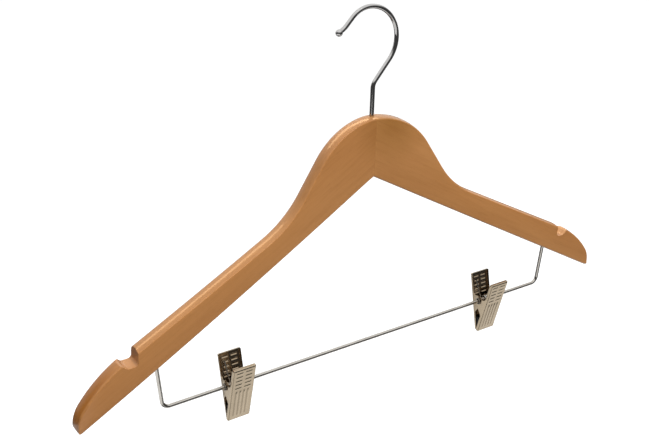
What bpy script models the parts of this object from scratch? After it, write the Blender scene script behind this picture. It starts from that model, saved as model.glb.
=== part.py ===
"""Wooden clip hanger.

Two curved wooden arms meet in a comb joint under a swivelling wire hook. A bent wire
bar hangs below the arms and carries two sliding, sprung clips of stamped sheet metal.

Metres. X runs along the hanger, -Y is the front and +Z is up. The origin is on the
hook's swivel axis, at the inside of the hook's loop, where the hanger sits on a rail.
"""
import math

import bmesh
import bpy
from mathutils import Matrix, Vector

# Clearances
FIT = 0.0003                 # between pieces that touch
TURN = math.tau

# Wooden arms, seen from the front; heights are above the tips of the arms
HANGER_LENGTH = 0.4430
BOARD_THICKNESS = 0.0120
APEX_HEIGHT = 0.1221         # inner corner of the underside
CROWN_DEPTH = 0.0418         # wood between that corner and the crown
CROWN_RADIUS = 0.0525
FLANK_ANGLE = math.radians(55.9)
NECK_RADIUS = 0.0760
ARM_DEPTH = 0.0236           # height of an arm at its notch, before the notch is cut
ARM_TAPER = math.radians(1.6)
TIP_SWEEP = math.radians(12.3)
TIP_SWEEP_RADIUS = 0.1350
NOSE_RADIUS = 0.0270
TIP_CORNER = 0.0024          # rounding between the nose and the underside
TIP_STEPS = 3
TIP_FLAT = math.radians(36)  # part of that rounding that is left flat
VALLEY_ANGLE = math.radians(4.7)   # each arm leaves the joint this much towards the front
VALLEY_BLEND = 0.0060        # how softly the front turns at the joint
TOP_ROUND = 0.0045
BOTTOM_ROUND = 0.0013
STATION_SPACING = 0.0130

# Comb joint
TONGUE_COUNT = 2
TONGUE_LENGTH = 0.0100

# Strap notches
NOTCH_X = 0.1797             # the steep wall, from the middle of the hanger
NOTCH_DEPTH = 0.0097         # below the arm's upper edge at that wall
NOTCH_FLOOR = 0.0073
NOTCH_RAMP = math.radians(47)
NOTCH_RADIUS = 0.0028

# Hook
HOOK_WIRE = 0.0030
HOOK_BEND_HEIGHT = 0.0217    # above the crown
HOOK_BEND_RADIUS = 0.0075
HOOK_LOOP_HEIGHT = 0.0507
HOOK_LOOP_OFFSET = -0.0046
HOOK_LOOP_RADIUS = 0.0220
HOOK_CREST_RADIUS = 0.0186
HOOK_CREST_ANGLE = math.radians(47)
HOOK_LIP = 0.0078
HOOK_FLICK = math.radians(15)
HOOK_FLICK_RADIUS = 0.0080
HOOK_END = 0.0034
HOOK_BALL = 0.0046

# Nut and washer that hold the hook in the wood
COUNTERBORE_WIDTH = 0.0095
COUNTERBORE_DEPTH = 0.0070
WASHER_WIDTH = 0.0080
WASHER_THICKNESS = 0.0008
NUT_WIDTH = 0.0055           # across flats
NUT_HEIGHT = 0.0024

# Wire bar
BAR_WIRE = 0.0026
BAR_DROP = 0.0040            # below the tips of the arms
BAR_OFFSET = 0.0024          # the bar stands this much to the right of the middle
BAR_HOLE_X = 0.1686
BAR_CORNER_X = 0.1657
BAR_CORNER_RADIUS = 0.0055
BAR_SOCKET_DEPTH = 0.0120

# Clips
LEFT_CLIP_X = -0.1092
RIGHT_CLIP_X = 0.1153
SHEET = 0.0006
JAW_WIDTH = 0.0171
JAW_ABOVE = 0.0213           # along the plate, above and below the pivot
JAW_BELOW = 0.0260
JAW_STANDOFF = 0.0084        # outer face of the plate from the pivot's axis
JAW_TILT = math.radians(13.3)
JAW_FOLD_RADIUS = 0.0012
FLANGE_DEPTH = 0.0022
TOP_RETURN = 0.0022
EAR_RADIUS = 0.0035
EAR_FILLET = 0.0030          # inner corner between an ear's upper edge and its flange
EAR_ROOT_BELOW = 0.0105      # where an ear's lower edge leaves the flange, below the pivot
RELIEF = 0.00035             # height of the pressed ribs and flutes
RIB_COUNT = 5
RIB_PITCH = 0.0034
RIB_HALF_WIDTH = 0.0009
RIB_INNER = 0.0010           # ribs run between these distances from the plate's middle
RIB_OUTER = 0.0060
TOP_RIB_BELOW_EDGE = 0.0037
FLUTE_PITCH = 0.0029
FLUTE_COUNT = 4
FLUTE_RUNOUT = 0.0008        # over which the flutes rise at both ends
NET_GAP = 0.0002             # least distance between the lines of points in the pressed sheet
TUBE_WALL = 0.00045
TUBE_RIM = 0.0007            # how far the tube's rolled rims stand out
TUBE_RIM_LENGTH = 0.0004
SPRING_WIRE = 0.0010
SPRING_GAP = 0.00045         # between neighbouring turns
SPRING_TURNS = 5
SPRING_LEG_HEIGHT = 0.0130
PAD_HEIGHT = 0.0080

# Sizes that follow from the ones above
HALF_LENGTH = HANGER_LENGTH / 2
UNDERSIDE_ANGLE = math.atan2(APEX_HEIGHT, HALF_LENGTH)
ARM_ANGLE = UNDERSIDE_ANGLE - ARM_TAPER
CROWN_HEIGHT = APEX_HEIGHT + CROWN_DEPTH
LOOP_CENTRE = (HOOK_LOOP_OFFSET, CROWN_HEIGHT + HOOK_LOOP_HEIGHT)
SEAT_HEIGHT = LOOP_CENTRE[1] + math.sqrt((HOOK_LOOP_RADIUS - HOOK_WIRE / 2) ** 2 - HOOK_LOOP_OFFSET ** 2)
BAR_HOLE_RADIUS = BAR_WIRE / 2 + FIT
HOOK_HOLE_RADIUS = HOOK_WIRE / 2 + FIT
TUBE_INNER = BAR_WIRE / 2 + FIT
TUBE_OUTER = TUBE_INNER + TUBE_WALL
EAR_HOLE_RADIUS = TUBE_OUTER + FIT
JAW_OFFSET = (SHEET + FIT) / 2      # the two like jaws stand this far to either side, so their ears pass
TUBE_HALF = JAW_WIDTH / 2 + JAW_OFFSET + FIT + TUBE_RIM_LENGTH
SPRING_RADIUS = TUBE_OUTER + FIT + SPRING_WIRE / 2
SPRING_PITCH = SPRING_WIRE + SPRING_GAP
JAW_TIP_GAP = JAW_STANDOFF * math.cos(JAW_TILT) - JAW_BELOW * math.sin(JAW_TILT)
LIP_DEPTH = (JAW_TIP_GAP - FIT / 2) / math.cos(JAW_TILT)


def underside(x):
    return APEX_HEIGHT - abs(x) * math.tan(UNDERSIDE_ANGLE)


def arm_line(x):
    """Straight upper edge of an arm, which closes on the underside towards the neck."""
    at_notch = underside(NOTCH_X) + ARM_DEPTH
    return at_notch + (NOTCH_X - abs(x)) * math.tan(ARM_ANGLE)


def valley(x):
    """Forward lean of the arms: steepest near the joint, parallel at the tips."""
    across = math.hypot(x, VALLEY_BLEND) - VALLEY_BLEND
    return -math.tan(VALLEY_ANGLE) * (across - across ** 2 / HANGER_LENGTH)


def clear_scene():
    for item in list(bpy.data.objects):
        bpy.data.objects.remove(item, do_unlink=True)


def new_collection(name):
    collection = bpy.data.collections.new(name)
    bpy.context.scene.collection.children.link(collection)
    return collection


def new_material(name, colour, roughness, metallic):
    material = bpy.data.materials.new(name)
    material.use_nodes = True
    shader = material.node_tree.nodes["Principled BSDF"]
    shader.inputs["Base Color"].default_value = (*colour, 1.0)
    shader.inputs["Roughness"].default_value = roughness
    shader.inputs["Metallic"].default_value = metallic
    material.diffuse_color = (*colour, 1.0)
    return material


def new_empty(name, collection, location, parent=None):
    empty = bpy.data.objects.new(name, None)
    empty.empty_display_size = 0.01
    empty.location = location
    empty.parent = parent
    collection.objects.link(empty)
    return empty


def new_object(name, data, collection, parent, material=None, location=(0, 0, 0), rotation=(0, 0, 0)):
    item = bpy.data.objects.new(name, data)
    if material and material.name not in data.materials:
        data.materials.append(material)
    item.location = location
    item.rotation_euler = rotation
    item.parent = parent
    collection.objects.link(item)
    return item


def as_cutter(item):
    item.hide_render = True
    item.display_type = "WIRE"
    return item


def mesh_from_bmesh(name, bm):
    bmesh.ops.recalc_face_normals(bm, faces=bm.faces)
    mesh = bpy.data.meshes.new(name)
    bm.to_mesh(mesh)
    bm.free()
    return mesh


def smooth(mesh, angle=40):
    mesh.shade_smooth()
    mesh.set_sharp_from_angle(angle=math.radians(angle))


def evaluated_mesh(item):
    """The item's final mesh, with its loose caps welded."""
    graph = bpy.context.evaluated_depsgraph_get()
    mesh = bpy.data.meshes.new_from_object(item.evaluated_get(graph))
    bm = bmesh.new()
    bm.from_mesh(mesh)
    bmesh.ops.remove_doubles(bm, verts=bm.verts, dist=0.00001)
    bm.to_mesh(mesh)
    bm.free()
    return mesh


def slab_mesh(name, outline, thickness):
    """A flat closed outline, filled and given a thickness about its own plane."""
    curve = bpy.data.curves.new(name, "CURVE")
    curve.dimensions = "2D"
    curve.fill_mode = "BOTH"
    curve.extrude = thickness / 2
    spline = curve.splines.new("POLY")
    spline.points.add(len(outline) - 1)
    for point, (x, y) in zip(spline.points, outline):
        point.co = (x, y, 0, 1)
    spline.use_cyclic_u = True
    guide = bpy.data.objects.new(name, curve)
    bpy.context.scene.collection.objects.link(guide)
    mesh = evaluated_mesh(guide)
    mesh.shade_flat()
    bpy.data.objects.remove(guide)
    return mesh


def wire_object(name, points, radius, material, collection, parent, sides=12, swell=None, location=(0, 0, 0)):
    """A round wire along the points; swell gives each point's share of the radius."""
    curve = bpy.data.curves.new(name, "CURVE")
    curve.dimensions = "3D"
    curve.bevel_depth = radius
    curve.bevel_resolution = sides // 2 - 2
    curve.use_fill_caps = True
    spline = curve.splines.new("POLY")
    spline.points.add(len(points) - 1)
    for index, point in enumerate(points):
        spline.points[index].co = (*point, 1)
        if swell:
            spline.points[index].radius = swell[index]
    spline.use_smooth = True
    return new_object(name, curve, collection, parent, material, location)


def cylinder_mesh(name, radius, low, high, sides=24, axis="Z"):
    bm = bmesh.new()
    bmesh.ops.create_cone(
        bm, cap_ends=True, segments=sides, radius1=radius, radius2=radius, depth=high - low,
        matrix=Matrix.Translation((0, 0, (high + low) / 2)))
    if axis == "X":
        bm.transform(Matrix.Rotation(math.radians(90), 4, "Y"))
    return mesh_from_bmesh(name, bm)


def boolean(item, cutter, operation="DIFFERENCE"):
    modifier = item.modifiers.new(cutter.name, "BOOLEAN")
    modifier.operation = operation
    modifier.solver = "EXACT"
    modifier.object = cutter


def fillet_path(corners, step=math.radians(9)):
    """Points along straight runs through the corners (x, y, radius), rounded by arcs.

    Where two arcs would need more than the run between them, both radii shrink to fit.
    """
    spots = [Vector(corner[:2]) for corner in corners]
    reach = [0.0] * len(corners)
    turns = [0.0] * len(corners)
    for i in range(1, len(corners) - 1):
        before = (spots[i] - spots[i - 1]).normalized()
        after = (spots[i + 1] - spots[i]).normalized()
        turns[i] = math.atan2(before.x * after.y - before.y * after.x, before.dot(after))
        reach[i] = corners[i][2] * math.tan(abs(turns[i]) / 2)
    share = [1.0] * len(corners)
    for i in range(len(corners) - 1):
        room = (spots[i + 1] - spots[i]).length * 0.999
        need = reach[i] + reach[i + 1]
        if need > room:
            share[i] = min(share[i], room / need)
            share[i + 1] = min(share[i + 1], room / need)
    points = [tuple(spots[0])]
    for i in range(1, len(corners) - 1):
        if reach[i] == 0:
            points.append(tuple(spots[i]))
            continue
        before = (spots[i] - spots[i - 1]).normalized()
        radius = corners[i][2] * share[i]
        start = spots[i] - before * reach[i] * share[i]
        side = math.copysign(1, turns[i])
        centre = start + Vector((-before.y, before.x)) * radius * side
        first = math.atan2(start.y - centre.y, start.x - centre.x)
        steps = max(2, 2 * round(abs(turns[i]) / step / 2))
        for k in range(steps + 1):
            angle = first + turns[i] * k / steps
            points.append((centre.x + radius * math.cos(angle), centre.y + radius * math.sin(angle)))
    points.append(tuple(spots[-1]))
    return points


def divide_runs(points, longest):
    """The same path with no run longer than the limit."""
    result = [points[0]]
    for start, end in zip(points, points[1:]):
        count = max(1, math.ceil(math.dist(start, end) / longest))
        for k in range(1, count + 1):
            result.append(tuple(a + (b - a) * k / count for a, b in zip(start, end)))
    return result


def spaced(points, least):
    """The same path without any point that lies nearer than the least distance to the last."""
    result = points[:1]
    for point in points[1:]:
        if math.dist(point, result[-1]) >= least:
            result.append(point)
    return result


def meeting_point(x1, y1, slope1, x2, y2, slope2):
    x = (y2 - y1 + slope1 * x1 - slope2 * x2) / (slope1 - slope2)
    return x, y1 + slope1 * (x - x1)


def tip_reach():
    """How far the small rounding of the tip reaches along the nose and the underside."""
    return TIP_CORNER * math.tan((math.radians(90) + UNDERSIDE_ANGLE) / 2)


def tip_arc(first, last):
    """Points and outward directions on the tip's small rounding, at angles below the level."""
    result = []
    for k in range(TIP_STEPS + 1):
        angle = first + (last - first) * k / TIP_STEPS
        away = Vector((math.cos(angle), -math.sin(angle)))
        result.append(((HALF_LENGTH - TIP_CORNER + TIP_CORNER * away.x, tip_reach() + TIP_CORNER * away.y), away))
    return result


def upper_outline():
    """Upper outline of the right arm, from the crown to the tip's small rounding."""
    crown_centre = CROWN_HEIGHT - CROWN_RADIUS
    peak = crown_centre + CROWN_RADIUS / math.cos(FLANK_ANGLE)
    flank_slope = -math.tan(FLANK_ANGLE)
    arm_slope = -math.tan(ARM_ANGLE)
    neck = meeting_point(0, peak, flank_slope, 0, arm_line(0), arm_slope)
    sweep_angle = ARM_ANGLE + TIP_SWEEP
    nose_height = tip_reach() + NOSE_RADIUS * math.tan((math.radians(90) - sweep_angle) / 2)
    sweep = meeting_point(0, arm_line(0), arm_slope, HALF_LENGTH, nose_height, -math.tan(sweep_angle))
    corners = [
        (-neck[0], neck[1], 0),
        (0, peak, CROWN_RADIUS),
        (*neck, NECK_RADIUS),
        (*sweep, TIP_SWEEP_RADIUS),
        (HALF_LENGTH, nose_height, NOSE_RADIUS),
        (HALF_LENGTH, tip_reach(), 0),
    ]
    end = corners[-1][:2]
    path = spaced([point for point in fillet_path(corners) if point[0] > -0.00001], TOP_ROUND / 3)
    path = [point for point in path if math.dist(point, end) > TOP_ROUND / 3]
    return divide_runs(path + [end], STATION_SPACING)


def outline_normals(points):
    normals = [Vector((0, 1))]
    for before, after in zip(points, points[2:]):
        run = Vector(after) - Vector(before)
        normals.append(Vector((-run.y, run.x)).normalized())
    run = Vector(points[-1]) - Vector(points[-2])
    normals.append(Vector((-run.y, run.x)).normalized())
    return normals


def foot_positions(tops):
    """Where each station meets the underside; round the nose the stations fan out."""
    fan = next(index for index, top in enumerate(tops) if top[0] > HALF_LENGTH - NOSE_RADIUS)
    runs = [0.0]
    for before, after in zip(tops[fan:], tops[fan + 1:]):
        runs.append(runs[-1] + math.dist(before, after))
    start = tops[fan][0]
    end = HALF_LENGTH - tip_reach() * math.cos(UNDERSIDE_ANGLE)
    return [top[0] for top in tops[:fan]] + [start + (end - start) * run / runs[-1] for run in runs]


def board_section(top, top_normal, bottom, bottom_normal):
    """One closed flat loop of the board, from the front's lower edge round to the back's."""
    depth = math.dist(top, bottom)
    half = BOARD_THICKNESS / 2
    down = (Vector(bottom) - Vector(top)) / depth
    loop = []
    for spot, normal, outward, rounding, share, steps in (
            (Vector(bottom), bottom_normal, down, BOTTOM_ROUND, 0.45, 2),
            (Vector(top), top_normal, -down, TOP_ROUND, 0.25, 4)):
        inward = min(rounding / outward.dot(normal), depth * share)
        across = min(rounding, half * 0.9)
        arc = []
        for k in range(steps + 1):
            angle = math.radians(90) * k / steps
            place = spot - outward * inward * (1 - math.sin(angle))
            arc.append((place.x, half - across + across * math.cos(angle), place.y))
        loop.append(arc)
    bottom_arc, top_arc = loop
    front = [(x, -y, z) for x, y, z in reversed(bottom_arc)] + [(x, -y, z) for x, y, z in top_arc]
    back = list(reversed(top_arc)) + bottom_arc
    return front + back


def board_stations():
    """Top, foot and their outward directions for each section, from the middle to the tip."""
    tops = upper_outline()
    under = Vector((-math.sin(UNDERSIDE_ANGLE), -math.cos(UNDERSIDE_ANGLE)))
    feet = [(foot_x, underside(foot_x)) for foot_x in foot_positions(tops)]
    stations = [(*station, under) for station in zip(tops, outline_normals(tops), feet)]
    turn = math.radians(90) + UNDERSIDE_ANGLE
    from_nose = tip_arc(0, turn / 2 - TIP_FLAT / 2)
    from_foot = tip_arc(turn, turn / 2 + TIP_FLAT / 2)
    rounding = [(*upper, *lower) for upper, lower in zip(from_nose, from_foot)]
    return stations[:-1] + rounding


def board_mesh():
    """Both arms as one loft of sections, bent to the shallow valley of the front."""
    right = [board_section(*station) for station in board_stations()]
    left = [[(-x, y, z) for x, y, z in section] for section in reversed(right[1:])]
    bm = bmesh.new()
    loops = []
    for section in left + right:
        loops.append([bm.verts.new((x, y + valley(x), z)) for x, y, z in section])
    for one, two in zip(loops, loops[1:]):
        for k in range(len(one)):
            n = (k + 1) % len(one)
            bm.faces.new((one[k], one[n], two[n], two[k]))
    bm.faces.new(loops[0])
    bm.faces.new(loops[-1])
    mesh = mesh_from_bmesh("board", bm)
    smooth(mesh)
    return mesh


def comb_outline(gap, outwards):
    """Plan of everything on one side of the comb joint.

    outwards is +1 for the side of the right arm, whose tongues reach into the left arm.
    """
    half_depth = BOARD_THICKNESS - valley(HALF_LENGTH)
    layer = BOARD_THICKNESS / (2 * TONGUE_COUNT + 1)
    shoulder = gap
    line = [(shoulder, -half_depth)]
    for k in range(TONGUE_COUNT):
        front = -BOARD_THICKNESS / 2 + (2 * k + 1) * layer + gap
        back = -BOARD_THICKNESS / 2 + (2 * k + 2) * layer - gap
        line += [(shoulder, front), (shoulder - TONGUE_LENGTH, front)]
        line += [(shoulder - TONGUE_LENGTH, back), (shoulder, back)]
    line.append((shoulder, half_depth))
    far = outwards * HANGER_LENGTH
    return [(far, -half_depth)] + line + [(far, half_depth)]


def notch_outline(side):
    floor = arm_line(NOTCH_X) - NOTCH_DEPTH
    over = floor + 0.03
    ramp_end = NOTCH_X + NOTCH_FLOOR + (over - floor) / math.tan(NOTCH_RAMP)
    corners = [
        (NOTCH_X - 0.0006, over, 0),
        (NOTCH_X, floor, NOTCH_RADIUS),
        (NOTCH_X + NOTCH_FLOOR, floor, NOTCH_RADIUS),
        (ramp_end, over, 0),
    ]
    return [(side * x, z) for x, z in fillet_path(corners, step=math.radians(15))]


def bar_leg(side):
    """Foot and direction of the bar's leg, in the plane of the front."""
    foot = Vector((side * BAR_CORNER_X + BAR_OFFSET, -BAR_DROP))
    hole_x = side * BAR_HOLE_X + BAR_OFFSET
    mouth = Vector((hole_x, underside(hole_x)))
    return foot, (mouth - foot).normalized(), mouth


def arm_cutters(collection, parent):
    """Cutters for both arms: comb, hook hole, counterbore, bar holes and notches."""
    tall = CROWN_HEIGHT * 2
    cutters = {}
    for name, gap, outwards in (("left", -FIT / 2, 1), ("right", FIT / 2, -1)):
        plan = slab_mesh(name + "_comb_cutter", comb_outline(gap, outwards), tall)
        cutters[name + "_comb"] = as_cutter(new_object(
            name + "_comb_cutter", plan, collection, parent, location=(0, 0, tall / 2 - 0.02)))
    hole = cylinder_mesh("hook_hole_cutter", HOOK_HOLE_RADIUS, APEX_HEIGHT - 0.02, CROWN_HEIGHT + 0.02)
    cutters["hook_hole"] = as_cutter(new_object("hook_hole_cutter", hole, collection, parent))
    bore = cylinder_mesh(
        "counterbore_cutter", COUNTERBORE_WIDTH / 2, APEX_HEIGHT - 0.02, APEX_HEIGHT + COUNTERBORE_DEPTH)
    cutters["counterbore"] = as_cutter(new_object("counterbore_cutter", bore, collection, parent))
    for name, side in (("left", -1), ("right", 1)):
        slab = slab_mesh(name + "_notch_cutter", notch_outline(side), BOARD_THICKNESS * 4)
        slab.transform(Matrix.Rotation(math.radians(90), 4, "X"))
        cutters[name + "_notch"] = as_cutter(new_object(name + "_notch_cutter", slab, collection, parent))
        foot, direction, mouth = bar_leg(side)
        socket = cylinder_mesh(
            name + "_socket_cutter", BAR_HOLE_RADIUS, -0.006, BAR_SOCKET_DEPTH + FIT, sides=16)
        lean = math.atan2(direction.x, direction.y)
        cutters[name + "_socket"] = as_cutter(new_object(
            name + "_socket_cutter", socket, collection, parent,
            location=(mouth.x, valley(BAR_HOLE_X), mouth.y), rotation=(0, lean, 0)))
    return cutters


def make_arms(collection, cutter_collection, parent, wood):
    cutters = arm_cutters(cutter_collection, parent)
    board = board_mesh()
    for name in ("left", "right"):
        arm = new_object(name + "_arm", board.copy(), collection, parent, wood)
        for key in (name + "_comb", name + "_notch", name + "_socket", "hook_hole", "counterbore"):
            boolean(arm, cutters[key])
        shading = arm.modifiers.new("even_shading", "WEIGHTED_NORMAL")
        shading.keep_sharp = True


def hook_path():
    """Centre line of the hook in its own plane, and its heights, from the nut up to the ball."""
    nut_end = APEX_HEIGHT + COUNTERBORE_DEPTH - 3 * FIT - WASHER_THICKNESS - NUT_HEIGHT - FIT
    bend = Vector((0, CROWN_HEIGHT + HOOK_BEND_HEIGHT))
    centre = Vector(LOOP_CENTRE)
    to_centre = centre - bend
    slope = math.atan2(to_centre.y, to_centre.x) - math.asin(HOOK_LOOP_RADIUS / to_centre.length)
    start = slope - math.radians(90)
    touch = centre + HOOK_LOOP_RADIUS * Vector((math.cos(start), math.sin(start)))
    points = fillet_path([(0, nut_end, 0), (*bend, HOOK_BEND_RADIUS), (*touch, 0)], step=math.radians(8))[:-1]
    points = divide_runs(points, 0.02)
    loop_steps = 16
    for k in range(loop_steps + 1):
        angle = start + (math.radians(90) - start) * k / loop_steps
        points.append((centre.x + HOOK_LOOP_RADIUS * math.cos(angle), centre.y + HOOK_LOOP_RADIUS * math.sin(angle)))
    crest = Vector((centre.x, centre.y + HOOK_LOOP_RADIUS - HOOK_CREST_RADIUS))
    crest_steps = 6
    for k in range(1, crest_steps + 1):
        angle = math.radians(90) + HOOK_CREST_ANGLE * k / crest_steps
        points.append((crest.x + HOOK_CREST_RADIUS * math.cos(angle), crest.y + HOOK_CREST_RADIUS * math.sin(angle)))
    down = math.radians(180) + HOOK_CREST_ANGLE
    lip_end = Vector(points[-1]) + HOOK_LIP * Vector((math.cos(down), math.sin(down)))
    flick = down - HOOK_FLICK
    tail = lip_end + HOOK_END * Vector((math.cos(flick), math.sin(flick)))
    return points + fillet_path([points[-1], (*lip_end, HOOK_FLICK_RADIUS), tail], step=math.radians(5))[1:], flick


def make_hook(collection, parent, steel):
    """The hook's wire ends in a ball, swept in one piece with it."""
    path, heading = hook_path()
    swell = [1.0] * len(path)
    ball = HOOK_BALL / 2
    neck = math.asin(HOOK_WIRE / HOOK_BALL)
    centre = Vector(path[-1]) + ball * math.cos(neck) * Vector((math.cos(heading), math.sin(heading)))
    steps = 7
    for k in range(1, steps + 1):
        angle = neck + (math.radians(172) - neck) * k / steps
        spot = centre - ball * math.cos(angle) * Vector((math.cos(heading), math.sin(heading)))
        path.append(tuple(spot))
        swell.append(ball * math.sin(angle) / (HOOK_WIRE / 2))
    points = [(x, 0, z) for x, z in path]
    return wire_object("hook", points, HOOK_WIRE / 2, steel, collection, parent, swell=swell)


def ring_mesh(name, outer, inner, low, high, sides=32, hole_sides=24):
    """A round or many-sided disc with a round hole, cut as one body."""
    bm = bmesh.new()
    bmesh.ops.create_cone(
        bm, cap_ends=True, segments=sides, radius1=outer, radius2=outer, depth=high - low,
        matrix=Matrix.Translation((0, 0, (high + low) / 2)))
    disc = bpy.data.objects.new(name, mesh_from_bmesh(name, bm))
    drill = bpy.data.objects.new(name + "_drill", cylinder_mesh(
        name + "_drill", inner, low - 0.001, high + 0.001, sides=hole_sides))
    for item in (disc, drill):
        bpy.context.scene.collection.objects.link(item)
    boolean(disc, drill)
    mesh = evaluated_mesh(disc)
    for item in (disc, drill):
        bpy.data.objects.remove(item)
    mesh.name = name
    return mesh


def make_hook_fixings(collection, parent, steel):
    ceiling = APEX_HEIGHT + COUNTERBORE_DEPTH
    washer_top = ceiling - FIT
    nut_top = washer_top - WASHER_THICKNESS - FIT
    washer = ring_mesh("hook_washer", WASHER_WIDTH / 2, HOOK_HOLE_RADIUS, washer_top - WASHER_THICKNESS, washer_top)
    new_object("hook_washer", washer, collection, parent, steel)
    corner = NUT_WIDTH / 2 / math.cos(TURN / 12)
    nut = ring_mesh("hook_nut", corner, HOOK_HOLE_RADIUS, nut_top - NUT_HEIGHT, nut_top, sides=6)
    new_object("hook_nut", nut, collection, parent, steel)


def make_bar(collection, parent, steel):
    left_foot, left_way, left_mouth = bar_leg(-1)
    right_foot, right_way, right_mouth = bar_leg(1)
    left_end = left_mouth + left_way * (BAR_SOCKET_DEPTH - FIT)
    right_end = right_mouth + right_way * (BAR_SOCKET_DEPTH - FIT)
    corners = [
        (*left_end, 0),
        (*left_foot, BAR_CORNER_RADIUS),
        (*right_foot, BAR_CORNER_RADIUS),
        (*right_end, 0),
    ]
    path = fillet_path(corners, step=math.radians(12))
    points = [(x, valley(BAR_HOLE_X), z) for x, z in path]
    return wire_object("trouser_bar", points, BAR_WIRE / 2, steel, collection, parent, sides=12)


def tangent_angle(spot, centre, radius, side):
    """Angle on a circle where the line from a spot outside touches it."""
    away = Vector(spot) - Vector(centre)
    return math.atan2(away.y, away.x) + side * math.acos(radius / away.length)


def flange_depth(height):
    """Depth of a jaw's side flange, which widens into the ear round the pivot."""
    centre = (JAW_STANDOFF, 0)
    if height >= EAR_RADIUS:
        over = min(max(0.0, EAR_RADIUS + EAR_FILLET - height), EAR_FILLET)
        return FLANGE_DEPTH + EAR_FILLET - math.sqrt(EAR_FILLET ** 2 - over ** 2)
    angle = tangent_angle((FLANGE_DEPTH, -EAR_ROOT_BELOW), centre, EAR_RADIUS, 1)
    touch_depth = centre[0] + EAR_RADIUS * math.cos(angle)
    touch_height = EAR_RADIUS * math.sin(angle)
    if height < touch_height:
        share = (height - touch_height) / (-EAR_ROOT_BELOW - touch_height)
        return touch_depth + (FLANGE_DEPTH - touch_depth) * min(1.0, share)
    return centre[0] + math.sqrt(EAR_RADIUS ** 2 - height ** 2)


def rib_heights():
    top = JAW_ABOVE - TOP_RIB_BELOW_EDGE
    return [top - k * RIB_PITCH for k in range(RIB_COUNT)]


def relief(across, height):
    """Pressed pattern of a jaw's plate: short level ribs above, upright flutes below."""
    flute_top = rib_heights()[-1] - RIB_PITCH / 2
    for rib in rib_heights():
        share = 1 - abs(height - rib) / RIB_HALF_WIDTH
        if share > 0.001:
            inside = RIB_INNER < abs(across) < RIB_OUTER
            return RELIEF * share if inside else 0.0
    flute_end = FLUTE_PITCH * FLUTE_COUNT / 2
    flute_foot = -JAW_BELOW + 3 * JAW_FOLD_RADIUS
    if flute_foot < height < flute_top and abs(across) < flute_end:
        return RELIEF * (0.5 - 0.5 * math.cos(TURN * across / FLUTE_PITCH + math.pi * (FLUTE_COUNT % 2)))
    return 0.0


def jaw_columns():
    """Distances across the plate at which the sheet has a line of points."""
    flat = JAW_WIDTH / 2 - JAW_FOLD_RADIUS
    marks = {0.0, flat, RIB_INNER, RIB_INNER * 1.5, RIB_OUTER, RIB_OUTER * 0.94}
    for k in range(FLUTE_COUNT + 1):
        marks.add(abs(k * FLUTE_PITCH / 2))
    marks = sorted(mark for mark in marks if mark <= flat)
    kept = [marks[0]]
    for mark in marks[1:]:
        if mark - kept[-1] > NET_GAP:
            kept.append(mark)
    kept[-1] = flat
    return [-mark for mark in reversed(kept[1:])] + kept


def jaw_rows():
    """Heights along the plate at which the sheet has a line of points."""
    low = -JAW_BELOW + JAW_FOLD_RADIUS
    high = JAW_ABOVE - JAW_FOLD_RADIUS
    flute_foot = -JAW_BELOW + 3 * JAW_FOLD_RADIUS
    marks = [low, flute_foot, flute_foot + FLUTE_RUNOUT, -EAR_ROOT_BELOW, high, EAR_RADIUS]
    ear_steps = 8
    marks += [EAR_RADIUS * 0.97 * math.sin(math.radians(90) * (2 * k / ear_steps - 1)) for k in range(ear_steps + 1)]
    marks += [EAR_RADIUS + EAR_FILLET * (1 - math.cos(math.radians(angle))) for angle in (40, 65, 90)]
    flute_top = rib_heights()[-1] - RIB_PITCH / 2
    marks += [flute_top, flute_top - FLUTE_RUNOUT]
    for rib in rib_heights():
        marks += [rib - RIB_HALF_WIDTH, rib, rib + RIB_HALF_WIDTH]
    kept = []
    for mark in sorted(marks):
        if low <= mark <= high and (not kept or mark - kept[-1] > NET_GAP / 2):
            kept.append(mark)
    kept[-1] = high
    return kept


def folded(flat, way, depth_stations):
    """Stations past a fold: where they lie along the plate, and how deep."""
    stations = []
    for angle in (math.radians(45), math.radians(90)):
        along = flat + way * JAW_FOLD_RADIUS * math.sin(angle)
        stations.append((along, JAW_FOLD_RADIUS * (1 - math.cos(angle))))
    edge = flat + way * JAW_FOLD_RADIUS
    return stations + [(edge, depth) for depth in depth_stations]


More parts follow.
